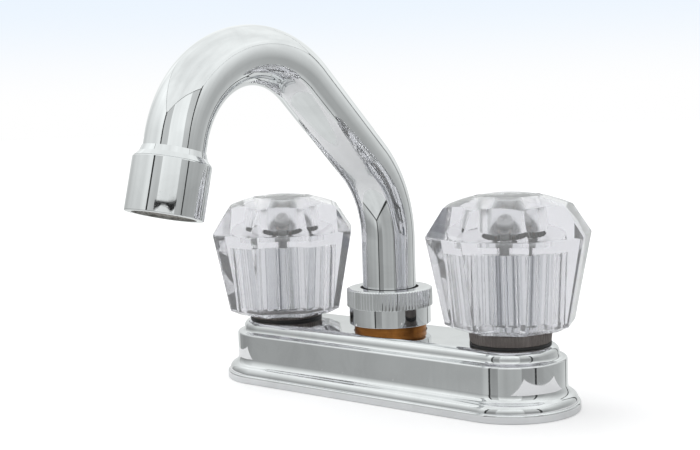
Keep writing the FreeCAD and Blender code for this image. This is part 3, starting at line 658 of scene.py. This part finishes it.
class MIXER_OT_base_casing(Operator):
    """Add the hollow chromed casing with its foot, ledge and raised deck"""
    bl_idname = "mixer.base_casing"
    bl_label = "Base casing"

    def execute(self, context):
        sizes = context.scene.mixer_base
        valve_x = middle("knob_right").x
        foot = high("base_cover").x - valve_x
        bottom, top = extent("base_cover")[1:]
        ledge = top - sizes.ledge_drop
        shell = sizes.shell
        edge = sizes.foot_edge_round
        bead = sizes.bead_round
        wall = sizes.wall_radius
        deck = sizes.deck_radius
        round_top = sizes.deck_edge_round
        bm = bmesh.new()
        steps = 2 * sizes.end_steps
        first = start_ring(bm, foot - edge, bottom, steps, turn=pi / steps, apart=valve_x)
        skin = (
            arc(foot - edge, bottom + edge, edge, -90, 0)[1:]
            + arc(foot - bead, sizes.foot_lip_height, bead, 0, 90)
            + ogee((foot - bead, sizes.foot_lip_height + bead), (wall, sizes.foot_height))
            + arc(wall - sizes.ledge_edge_round, ledge - sizes.ledge_edge_round,
                  sizes.ledge_edge_round, 0, 90)
            + arc(deck + sizes.ledge_cove, ledge + sizes.ledge_cove, sizes.ledge_cove, 270, 180)
            + arc(deck - round_top, top - round_top, round_top, 0, 90, 8))
        outside = grow(bm, first, *skin)
        lining = (
            (foot - shell, bottom),
            (foot - shell, sizes.foot_lip_height),
            (wall - shell, sizes.foot_height - shell),
            (wall - shell, ledge - shell),
            (deck - shell, ledge - shell),
            (deck - shell, top - shell))
        inside = grow(bm, first, *lining)
        above, below = list(outside), list(inside)
        for x, radius in ((-valve_x, sizes.neck_hole), (0, sizes.outlet_hole),
                          (valve_x, sizes.neck_hole)):
            upper = circle(bm, radius, sizes.end_steps, Matrix.Translation((x, 0, top)))[1]
            sunk, lower = extrude(bm, upper)
            bmesh.ops.translate(bm, verts=sunk, vec=(0, 0, -shell))
            above += upper
            below += lower
        bmesh.ops.triangle_fill(bm, edges=above, use_beauty=True)
        bmesh.ops.triangle_fill(bm, edges=below, use_beauty=True)
        bmesh.ops.recalc_face_normals(bm, faces=bm.faces)
        finish_piece(bm, "base_casing", "base_cover")
        return {"FINISHED"}


class MIXER_OT_lock_rings(Operator):
    """Add the two ribbed lock rings and the flat washers under them"""
    bl_idname = "mixer.lock_rings"
    bl_label = "Lock rings"

    def execute(self, context):
        sizes = context.scene.mixer_rings
        for side in SIDES:
            node = "lock_ring_" + side
            x = middle(node).x
            radius, bottom, top = extent(node)
            cut = sizes.lock_chamfer
            ribs, depth = sizes.lock_ribs, sizes.lock_rib_depth
            foot = radius - sizes.lock_taper
            rings = (
                (foot - cut / 2, bottom),
                (flutes(foot, depth, ribs), bottom + cut / 2),
                (flutes(radius - cut / 8, depth, ribs), top - cut * 1.4),
                (flutes(radius, depth, ribs), top - cut),
                (radius - cut, top),
                (sizes.lock_bore + cut / 2, top),
                (sizes.lock_bore, top - cut / 2),
                (sizes.lock_bore, bottom))
            turned_object("ribbed_ring_" + side, node, x, rings, GROOVE_STEPS * ribs, sharp=50)
            node = "ring_washer_" + side
            radius, bottom, top = extent(node)
            edge = (top - bottom) / 4
            rings = (arc(radius - edge, bottom + edge, edge, -90, 0, 3)
                     + arc(radius - edge, top - edge, edge, 0, 90, 3)
                     + [(sizes.lock_bore, top), (sizes.lock_bore, bottom)])
            turned_object("flat_washer_" + side, node, x, rings)
        return {"FINISHED"}


class MIXER_OT_knobs(Operator):
    """Add the two clear faceted knobs, hollow from below"""
    bl_idname = "mixer.knobs"
    bl_label = "Knobs"

    def execute(self, context):
        sizes = context.scene.mixer_knobs
        for side, turn in (("left", sizes.hot_turn), ("right", sizes.cold_turn)):
            node = "knob_" + side
            bm = self.knob(sizes, low(node).z, high("index_cap_" + side).z + sizes.cap_recess)
            move(bm, middle("knob_sleeve_" + side).x, turn=turn)
            finish_piece(bm, "faceted_knob_" + side, node, sharp=30, inner="matt_clear_plastic")
        return {"FINISHED"}

    def knob(self, sizes, bottom, top):
        """One closed mesh, grown from the lower rim over the outside and through the inside."""
        rim = sizes.cavity_radius
        girdle = bottom + sizes.girdle_height
        girdle_radius = half_width("knob_right")  # The corners of this one face the axes
        ball = dome_ball(sizes)
        ball_centre = top - ball
        half_facet = pi / sizes.sides
        steps = RIB_COLUMNS * sizes.rib_count

        def off_facet(angle):
            return (angle + pi / 2) % (2 * half_facet) - half_facet

        def facets(corner):
            return lambda angle: corner * cos(half_facet) / cos(off_facet(angle))

        slope = (girdle_radius - sizes.crown_radius) * cos(half_facet) / sizes.crown_rise
        facet = girdle_radius * cos(half_facet)

        def crown_height(angle):
            """Where the crown's facet meets the dome."""
            c = cos(off_facet(angle))
            square = slope ** 2 / c ** 2 + 1
            linear = girdle - ball_centre - facet * slope / c ** 2
            rest = facet ** 2 / c ** 2 + (girdle - ball_centre) ** 2 - ball ** 2
            return girdle + (-linear + sqrt(linear ** 2 - square * rest)) / square

        def crown_radius(angle):
            return (facet - slope * (crown_height(angle) - girdle)) / cos(off_facet(angle))

        cap_hole = half_width("index_cap_left") + sizes.cap_gap

        def dome_ring(k):
            def radius(angle):
                return crown_radius(angle) + (cap_hole - crown_radius(angle)) * k / DOME_STEPS
            return radius, lambda angle: ball_centre + sqrt(ball ** 2 - radius(angle) ** 2)

        cap_radius = cap_hole - sizes.cap_gap
        seat = ball_centre + sqrt(ball ** 2 - cap_radius ** 2) - sizes.cap_rim
        ceiling = bottom + sizes.cavity_height
        web_top = ceiling + sizes.web
        boss_foot = bottom + sizes.boss_foot
        socket_top = boss_foot + sizes.socket_depth
        tip = sizes.socket_radius
        star = teeth(tip, tip - sizes.tooth_depth, sizes.tooth_count)
        rib_centre = bottom + sizes.rib_foot + sizes.rib_radius
        bm = bmesh.new()
        first = start_ring(bm, facets(sizes.rim_radius), bottom, steps)
        outside = grow(
            bm, first,
            (facets(sizes.corner_radius), bottom + sizes.corner_height),
            (facets(girdle_radius), girdle),
            (crown_radius, crown_height),
            *[dome_ring(k) for k in range(1, DOME_STEPS + 1)])
        inside = grow(
            bm, outside,
            (cap_hole, seat),
            (sizes.well_radius, seat),
            (sizes.well_radius, web_top),
            (sizes.screw_hole_radius, web_top),
            (sizes.screw_hole_radius, socket_top),
            (star, socket_top),
            (star, boss_foot),
            (sizes.boss_radius, boss_foot),
            (sizes.boss_radius, ceiling))
        rib_end = [(rim, rib_centre - part * sizes.rib_radius) for part in (0.4, 0.7, 0.9, 1.0)]
        mouth = grow(bm, inside, (rim, ceiling), (rim, rib_centre), *rib_end, (rim, bottom))
        bmesh.ops.bridge_loops(bm, edges=first + mouth)
        self.raise_ribs(bm, sizes, rim, ceiling, rib_centre)
        bmesh.ops.recalc_face_normals(bm, faces=bm.faces)
        mark_inner(bm, lambda face, at: at.xy.length < cap_hole and upright(face))
        round_edges(bm, sizes.edge_round, 15,
                    lambda edge: min(vert.co.xy.length for vert in edge.verts) > rim + MM)
        return bm

    def raise_ribs(self, bm, sizes, rim, ceiling, rib_centre):
        """Shape the cavity's wall: the middle columns make each rib, the rest part evenly."""
        half_rib = 3
        column_turn = pi / 2 / half_rib
        hair = 0.01 * MM
        rib = sizes.rib_radius
        spoke = bm.verts.layers.float_vector["spoke"]
        pitch = 2 * pi / sizes.rib_count
        edge = asin(rib / rim)
        for vert in bm.verts:
            if abs(vert.co.xy.length - rim) > hair or vert.co.z > ceiling + hair:
                continue
            angle = atan2(vert[spoke].y, vert[spoke].x)
            near = round(angle / pitch)
            column = round((angle - near * pitch) / pitch * RIB_COLUMNS)
            if abs(column) <= half_rib:
                aside = rib * sin(column_turn * column)
                below = max(0.0, rib_centre - vert.co.z)
                out = sqrt(max(0.0, rib ** 2 - aside ** 2 - below ** 2))
                point = Vector((rim - out, aside, vert.co.z))
                if abs(column) == half_rib:
                    point = Vector((sqrt(rim ** 2 - aside ** 2), aside, vert.co.z))
            else:
                beyond = (abs(column) - half_rib) / (RIB_COLUMNS / 2 - half_rib)
                turn = (edge + (pitch / 2 - edge) * beyond) * (1 if column > 0 else -1)
                point = Vector((rim * cos(turn), rim * sin(turn), vert.co.z))
            vert.co = Matrix.Rotation(near * pitch, 3, "Z") @ point


class MIXER_OT_index_caps(Operator):
    """Add the clear caps over the screw wells"""
    bl_idname = "mixer.index_caps"
    bl_label = "Index caps"

    def execute(self, context):
        sizes = context.scene.mixer_knobs
        ball = dome_ball(sizes)
        for side in SIDES:
            node = "index_cap_" + side
            radius, bottom, top = extent(node)
            shoulder = top - ball + sqrt(ball ** 2 - radius ** 2)
            seat = shoulder + sizes.cap_recess - sizes.cap_rim
            skirt = sizes.cap_skirt_radius
            edge = sizes.cap_edge
            rings = [
                (skirt - sizes.cap_skirt_wall, bottom),
                (skirt, bottom),
                (skirt, seat),
                (radius, seat),
                (radius, shoulder - edge)]
            for k in range(DOME_STEPS):
                out = (radius - edge) * (1 - k / DOME_STEPS)
                rings.append((out, top - ball + sqrt(ball ** 2 - out ** 2)))
            bm = bmesh.new()
            first = start_ring(bm, skirt - sizes.cap_skirt_wall, seat, ROUND_STEPS)
            crown = grow(bm, first, *rings)
            bmesh.ops.holes_fill(bm, edges=first + crown, sides=0)
            bmesh.ops.recalc_face_normals(bm, faces=bm.faces)
            mark_inner(bm, lambda face, at: upright(face))
            move(bm, middle(node).x)
            finish_piece(bm, "clear_cap_" + side, node, sharp=30, inner="matt_clear_plastic")
        return {"FINISHED"}


class MIXER_OT_knob_sleeves(Operator):
    """Add the bright sleeves that show through the knobs"""
    bl_idname = "mixer.knob_sleeves"
    bl_label = "Knob sleeves"

    def execute(self, context):
        sizes = context.scene.mixer_knobs
        cut = sizes.sleeve_chamfer
        for side in SIDES:
            node = "knob_sleeve_" + side
            radius, bottom, top = extent(node)
            top -= sizes.contact_gap
            bore = radius - sizes.sleeve_wall
            rings = ((bore, bottom), (radius - cut, bottom), (radius, bottom + cut),
                     (radius, top), (bore, top))
            turned_object("bright_sleeve_" + side, node, middle(node).x, rings)
        return {"FINISHED"}


class MIXER_OT_union_nut(Operator):
    """Add the nut that holds the spout down, knurled above and plain below"""
    bl_idname = "mixer.union_nut"
    bl_label = "Union nut"

    def execute(self, context):
        sizes = context.scene.mixer_rings
        radius, bottom, top = extent("union_nut")
        edge = sizes.nut_edge
        band = sizes.band_radius
        step = top - sizes.knurl_band
        knurl = flutes(radius, sizes.knurl_depth, sizes.knurls)
        rings = (
            (sizes.nut_bore, bottom),
            (band - edge / 2, bottom),
            (band, bottom + edge / 2),
            (band, step),
            (radius - sizes.knurl_depth - edge / 2, step),
            (knurl, step + edge / 2),
            (knurl, top - edge),
            (radius - sizes.knurl_depth - edge / 2, top - edge / 3),
            (radius - sizes.knurl_depth - edge * 1.3, top),
            (sizes.nut_hole + edge / 3, top),
            (sizes.nut_hole, top - edge / 3),
            (sizes.nut_hole, top - sizes.nut_lip),
            (sizes.nut_bore, top - sizes.nut_lip))
        bm = turned_piece(rings, GROOVE_STEPS * sizes.knurls)
        # Painted shade: the hole round the tube gets black rubber, so the narrow gap between the
        # nut and the tube shows dark
        painted_shade_radius = sizes.nut_hole + edge / 4
        mark_inner(bm, lambda face, at: at.xy.length < painted_shade_radius and at.z > bottom)
        finish_piece(bm, "knurled_nut", "union_nut", sharp=50, inner="black_rubber")
        return {"FINISHED"}


class SpoutPath:
    """Centre line of the spout, in a plane that looks along +X before it is turned."""

    def __init__(self, sizes):
        self.sizes = sizes
        self.bend_step = radians(1.6)
        self.start = Vector((0, 0, low("spout_tube").z))
        self.turn = sizes.turn - pi / 2

    def along(self, lean):
        return Vector((sin(lean), 0, cos(lean)))

    def draw(self, bm, edges):
        """Sweep a ring of edges along the line; returns the last ring and the end point."""
        sizes = self.sizes
        point = self.start
        for lean, run, bend, next_lean in (
                (0.0, sizes.riser, sizes.lower_bend, sizes.lower_lean),
                (sizes.lower_lean, sizes.straight, sizes.arch_bend, sizes.end_lean),
                (sizes.end_lean, sizes.tail, 0.0, sizes.end_lean)):
            verts, edges = extrude(bm, edges)
            bmesh.ops.translate(bm, verts=verts, vec=self.along(lean) * run)
            point = point + self.along(lean) * run
            if next_lean > lean:
                inward = Vector((cos(lean), 0, -sin(lean)))
                centre = point + inward * bend
                steps = round((next_lean - lean) / self.bend_step)
                swept = bmesh.ops.spin(bm, geom=edges, cent=centre, axis=(0, 1, 0),
                                       angle=next_lean - lean, steps=steps, use_merge=False,
                                       use_duplicate=False)
                edges = edges_in(swept["geom_last"])
                point = centre - Matrix.Rotation(next_lean - lean, 3, "Y") @ inward * bend
        return edges, point


class MIXER_OT_spout(Operator):
    """Add the bent spout tube"""
    bl_idname = "mixer.spout"
    bl_label = "Spout tube"

    def execute(self, context):
        sizes = context.scene.mixer_spout
        path = SpoutPath(sizes)
        tube_steps = 96
        bm = bmesh.new()
        loops = []
        for radius in (sizes.tube_radius, sizes.tube_radius - sizes.tube_wall):
            first = circle(bm, radius, tube_steps, Matrix.Translation(path.start))[1]
            loops.append((first, path.draw(bm, first)[0]))
        (outer_foot, outer_end), (inner_foot, inner_end) = loops
        bmesh.ops.bridge_loops(bm, edges=outer_foot + inner_foot)
        bmesh.ops.bridge_loops(bm, edges=outer_end + inner_end)
        bmesh.ops.recalc_face_normals(bm, faces=bm.faces)
        move(bm, 0, path.turn)
        finish_piece(bm, "bent_tube", "spout_tube")
        return {"FINISHED"}


class MIXER_OT_aerator(Operator):
    """Add the aerator's housing on the end of the spout and the cone over it"""
    bl_idname = "mixer.aerator"
    bl_label = "Aerator"

    def execute(self, context):
        sizes = context.scene.mixer_spout
        radius = sizes.outlet_radius
        top = sizes.outlet_cover
        mouth = top - sizes.outlet_length
        edge = sizes.outlet_edge
        lip = sizes.mouth_edge
        bore = radius - sizes.thread_wall
        housing = turned_piece(
            [(radius - sizes.mouth_lip, mouth)]
            + arc(radius - lip, mouth + lip, lip, -90, 0, 4)
            + [(radius, top - edge), (radius - edge, top),
               (bore, top), (bore, mouth + sizes.mouth_lip_height),
               (radius - sizes.mouth_lip, mouth + sizes.mouth_lip_height)])
        self.set_on_end(sizes, housing)
        finish_piece(housing, "outlet_housing", "aerator_housing")
        gap = sizes.cone_gap
        foot = top + gap
        inside = sizes.tube_radius + gap
        cone = turned_piece(
            ((inside, 0), (bore - gap, 0), (bore - gap, foot), (sizes.cone_foot - gap, foot),
             (sizes.cone_foot, foot + gap), (sizes.cone_waist, foot + sizes.cone_shoulder),
             (sizes.cone_top, foot + sizes.cone_height), (inside, foot + sizes.cone_height)))
        self.set_on_end(sizes, cone)
        finish_piece(cone, "end_cone", "spout_end_fitting", sharp=20)
        return {"FINISHED"}

    def set_on_end(self, sizes, bm):
        """Set a piece, made with its +Z back up the tube, on the tube's end."""
        path = SpoutPath(sizes)
        scratch = bmesh.new()
        end = path.draw(scratch, circle(scratch, MM, 8, Matrix.Translation(path.start))[1])[1]
        scratch.free()
        bmesh.ops.rotate(bm, verts=bm.verts, cent=(0, 0, 0),
                         matrix=Matrix.Rotation(sizes.end_lean - pi, 3, "Y"))
        bmesh.ops.translate(bm, verts=bm.verts, vec=end)
        move(bm, 0, path.turn)


class MIXER_OT_inner_works(Operator):
    """Give every other CAD piece its material; turned ones get smooth copies"""
    bl_idname = "mixer.inner_works"
    bl_label = "Valves and fixings"

    def execute(self, context):
        covered = {node for piece in bpy.data.objects for node in piece.get("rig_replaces", [])}
        weld = 0.001 * MM
        for node in sorted(nodes):
            if node in covered:
                continue
            mesh = nodes[node].data
            if node == "aerator_screen":
                mesh.materials.clear()
                mesh.materials.append(finish_of(node))
                continue
            bm = bmesh.new()
            bm.from_mesh(mesh)
            bmesh.ops.remove_doubles(bm, verts=bm.verts, dist=weld)
            finish_piece(bm, node + "_smooth", node, sharp=28)
        return {"FINISHED"}


# Stage

def white_world(settings):
    """White with a pale blue gradient above for the camera, and plain light for the rest."""
    world = bpy.data.worlds.new("Plain light")
    world.use_nodes = True
    tree = world.node_tree
    all_blue = 0.09
    rise = axes(tree, tree.nodes.new("ShaderNodeTexCoord").outputs["Generated"])[2]
    seen = rise.spread(0.0, all_blue, smooth=True).colours((1, 1, 1), settings.sky)
    camera = Signal(add(tree, "LightPath"), "Is Camera Ray")
    feed(camera.colours([settings.fill] * 3, seen), tree.nodes["Background"].inputs["Color"])
    bpy.context.scene.world = world


def dark_strip(x, height):
    """Mask of the ragged dark strip across the tent's front."""
    middle, half, soft = -0.03, 0.145, 0.002
    top, slope, bow = 0.1295, 0.13, -0.2
    ripples, thinnest, thickest = 7.0, 0.0022, 0.0055
    slanted = x * (x * bow + slope) + height
    thickness = noise_along(x * ripples, 0.0).spread(0.3, 0.7, thinnest, thickest)
    return (slanted < top) * (slanted + thickness > top) * x.band(middle, half, soft)


def seams(settings, x, y, z, half, tall):
    """Mask of the tent's dark seams, which fade towards the back of the left wall."""
    fade_start = -0.1
    beside, ahead, over = (calc("SUBTRACT", reach, abs(value))
                           for value, reach in ((x, half), (y, half), (z, tall)))
    hem = (z > 0.0).spread(0.0, 1.0, settings.hem, settings.roof_hem)
    standing = calc("MAXIMUM", beside, ahead) < settings.seam
    lying = calc("MAXIMUM", over, calc("MINIMUM", beside, ahead)) < hem
    strength = calc("MAXIMUM", y.spread(fade_start, half, 1.0, 0.0), x > 0.0)
    return calc("MAXIMUM", standing, lying) * strength


def seen_through_plastic(settings, x, y, height):
    """Colour of the tent that clear plastic shows: darker in the gaps of its front."""
    front_end, back_start, gap_end = -0.25, 0.05, -0.22
    beside_front, half_gap, gap_top = 0.2, 0.07, 0.035
    plain = y.spread(front_end, back_start, smooth=True).colours(
        settings.cloth_through_front, settings.cloth_through_back)
    aside = abs(x)
    gaps = calc("ADD", aside > beside_front, (aside < half_gap) * (height < gap_top), clamp=True)
    return (gaps * (y < gap_end)).colours(plain, settings.cloth_through_gap)


def tent_cloth(settings):
    """Cloth of the light tent: brighter above and behind, with dark seams and an open slit."""
    material, tree = empty_material("Tent cloth")
    tree.nodes.remove(tree.nodes["Principled BSDF"])
    half = settings.tent_size / 2
    tall = settings.tent_height / 2
    middle_height = tall - settings.tent_floor
    inside = add(tree, "Mapping", vector_type="TEXTURE", Vector=place_on_object(tree),
                 Location=(*settings.tent_centre, middle_height),
                 Rotation=(0, 0, settings.tent_turn)).outputs[0]
    x, y, z = axes(tree, inside)
    height = z + middle_height
    front = y < MM - half
    left_dark, right_dark = y.spread(-0.2, 0.05, 0.52, 0.34), y.spread(-half, half, 0.34, 0.66)
    level = height.spread(0.0, 0.28, left_dark, 1.15)
    for wall, start, end, dark, bright in (
            (x > half - MM, 0.06, 0.28, right_dark, 0.95),
            (front, 0.05, 0.18, 0.34, 0.68),
            (y > half - MM, 0.06, 0.2, 0.76, 1.0)):
        level = level.blend(wall, height.spread(start, end, dark, bright))
    light_from_floor = height.spread(-0.12, -0.055, 0.25, 0.0)
    slit_start, slit_end, soft = -0.15, 0.1, 0.003
    slit = (front * x.spread(slit_start - soft, slit_start + soft)
            * x.spread(slit_end - soft, slit_end + soft, 1.0, 0.0))
    level = (level + light_from_floor).blend(slit, height.spread(0.03, 0.18, 0.5, 1.1))
    strip_level, roof_level, floor_level, seam_level = 0.01, 1.03, 0.80, 0.05
    level = level.blend(dark_strip(x, height) * front, strip_level)
    level = level.blend(z > tall - MM, roof_level).blend(z < MM - tall, floor_level)
    stretched = add(tree, "Mapping", Vector=inside, Scale=(8, 8, 1.2)).outputs[0]
    level = level * noise(tree, stretched, 1.0, 3.0).spread(0.25, 0.75, 0.88, 1.1)
    level = level.blend(seams(settings, x, y, z, half, tall), seam_level)
    red, green, blue = settings.cloth
    cloth = add(tree, "CombineColor", Red=level * red, Green=level * green, Blue=level * blue)
    through = seen_through_plastic(settings, x, y, height)
    transmitted = Signal(add(tree, "LightPath"), "Is Transmission Ray")
    light = add(tree, "Emission", Color=transmitted.colours(Signal(cloth), through))
    feed(light.outputs[0], tree.nodes["Material Output"].inputs["Surface"])
    return material


def floor_material(settings):
    """Pale floor, white to the camera; metal sees only the plate that the part stands on."""
    material, tree = empty_material("Pale floor")
    shader = tree.nodes["Principled BSDF"]
    shade = settings.floor_shade
    place = place_on_object(tree)
    grain = noise(tree, place, 900.0).colours([shade] * 3, (shade * 0.985, shade * 0.99, shade))
    feed(grain, shader.inputs["Base Color"])
    shader.inputs["Roughness"].default_value = 1
    shader.inputs["Specular IOR Level"].default_value = 0
    x, y = axes(tree, place)[:2]
    near, far, far_lift = 0.1, 0.7, settings.floor_lift + 0.12
    distance = Signal(add(tree, "VectorMath", operation="LENGTH", Vector=place), "Value")
    lift = distance.spread(near, far, settings.floor_lift, far_lift)
    path = add(tree, "LightPath")
    glossy = Signal(path, "Is Glossy Ray")
    in_plastic, in_metal = 0.3, 0.2
    shown = (Signal(path, "Is Transmission Ray") * in_plastic + Signal(path, "Is Camera Ray")
             + glossy * in_metal)
    shader.inputs["Emission Color"].default_value = (1, 1, 1, 1)
    feed(shown * lift, shader.inputs["Emission Strength"])
    half_width, half_depth, middle_y, soft = 0.118, 0.041, -0.006, 0.001
    plate = x.band(0.0, half_width, soft) * y.band(middle_y, half_depth, soft)
    mixed = add(tree, "MixShader", Fac=glossy * calc("SUBTRACT", 1.0, plate))
    feed(shader.outputs[0], mixed.inputs[1])
    feed(add(tree, "BsdfTransparent").outputs[0], mixed.inputs[2])
    feed(mixed.outputs[0], tree.nodes["Material Output"].inputs["Surface"])
    return material


def stage_object(bm, name, material):
    made = new_object(bm, name, material)
    return made


class MIXER_OT_studio(Operator):
    """Set up the floor, the light tent and the camera"""
    bl_idname = "mixer.studio"
    bl_label = "Studio"

    def execute(self, context):
        settings = context.scene.mixer_studio
        bm = bmesh.new()
        bmesh.ops.create_circle(bm, cap_ends=True, radius=4.0, segments=96)
        stage_object(bm, "Floor", floor_material(settings))
        wide, tall = settings.tent_size, settings.tent_height
        centre = (*settings.tent_centre, tall / 2 - settings.tent_floor)
        bm = bmesh.new()
        bmesh.ops.create_cube(bm, size=1, matrix=Matrix.Translation(centre)
                              @ Matrix.Rotation(settings.tent_turn, 4, "Z")
                              @ Matrix.Diagonal((wide, wide, tall, 1)))
        tent = stage_object(bm, "Light_tent", tent_cloth(settings))
        tent.visible_camera = False
        tent.visible_diffuse = False
        tent.visible_shadow = False
        white_world(settings)
        self.add_lamp(context, place=(-0.35, -0.1, 0.9), size=0.9, power=3.0)
        self.add_camera(context, settings)
        context.scene.view_settings.view_transform = "Standard"
        return {"FINISHED"}

    def add_lamp(self, context, place, size, power):
        name = "Lamp over the tent"
        light = bpy.data.lights.new(name, "AREA")
        light.shape = "DISK"
        light.size = size
        light.energy = power
        lamp = bpy.data.objects.new(name, light)
        lamp.location = place
        lamp.rotation_euler = Vector(place).to_track_quat("Z", "Y").to_euler()
        lamp.visible_camera = False
        lamp.visible_glossy = False
        lamp.visible_transmission = False
        context.scene.collection.objects.link(lamp)

    def add_camera(self, context, settings):
        """Stand the camera where the photograph was taken from."""
        a, e, r = settings.azimuth, settings.elevation, settings.roll
        back = Vector((sin(a) * cos(e), -cos(a) * cos(e), sin(e)))
        right = Vector((cos(a), sin(a), 0))
        up = back.cross(right)
        level_right = right * cos(r) + up * sin(r)
        level_up = up * cos(r) - right * sin(r)
        lens = bpy.data.cameras.new("Front right")
        lens.lens = settings.lens
        lens.clip_start = 0.01
        lens.clip_end = 20
        camera = bpy.data.objects.new("Front right", lens)
        turned = Matrix((level_right, level_up, back)).transposed().to_4x4()
        camera.matrix_world = Matrix.Translation(settings.camera_place) @ turned
        context.scene.collection.objects.link(camera)
        context.scene.camera = camera


class MIXER_PT_panel(Panel):
    """Mixer pieces in the sidebar"""
    bl_label = "Sink mixer"
    bl_idname = "MIXER_PT_panel"
    bl_space_type = "VIEW_3D"
    bl_region_type = "UI"
    bl_category = "Mixer"

    def draw(self, context):
        for operator in operators:
            self.layout.operator(operator.bl_idname)
        for name in groups:
            sizes = getattr(context.scene, name)
            box = self.layout.box()
            for field in sizes.bl_rna.properties:
                if field.identifier not in ("rna_type", "name"):
                    box.prop(sizes, field.identifier)


groups = {
    "mixer_base": BaseCasingSizes,
    "mixer_knobs": KnobSizes,
    "mixer_rings": RingSizes,
    "mixer_spout": SpoutSizes,
    "mixer_finishes": Finishes,
    "mixer_studio": StudioSettings,
}
operators = (
    MIXER_OT_base_casing,
    MIXER_OT_lock_rings,
    MIXER_OT_knobs,
    MIXER_OT_index_caps,
    MIXER_OT_knob_sleeves,
    MIXER_OT_union_nut,
    MIXER_OT_spout,
    MIXER_OT_aerator,
    MIXER_OT_inner_works,
    MIXER_OT_studio,
)


def register():
    for group in groups.values():
        bpy.utils.register_class(group)
    for operator in operators:
        bpy.utils.register_class(operator)
    bpy.utils.register_class(MIXER_PT_panel)
    for name, group in groups.items():
        setattr(bpy.types.Scene, name, PointerProperty(type=group))


def unregister():
    for name in groups:
        delattr(bpy.types.Scene, name)
    bpy.utils.unregister_class(MIXER_PT_panel)
    for operator in reversed(operators):
        bpy.utils.unregister_class(operator)
    for group in reversed(groups.values()):
        bpy.utils.unregister_class(group)


def main():
    register()
    for operator in operators:
        group, name = operator.bl_idname.split(".")
        getattr(getattr(bpy.ops, group), name)()


if __name__ == "__main__":
    main()
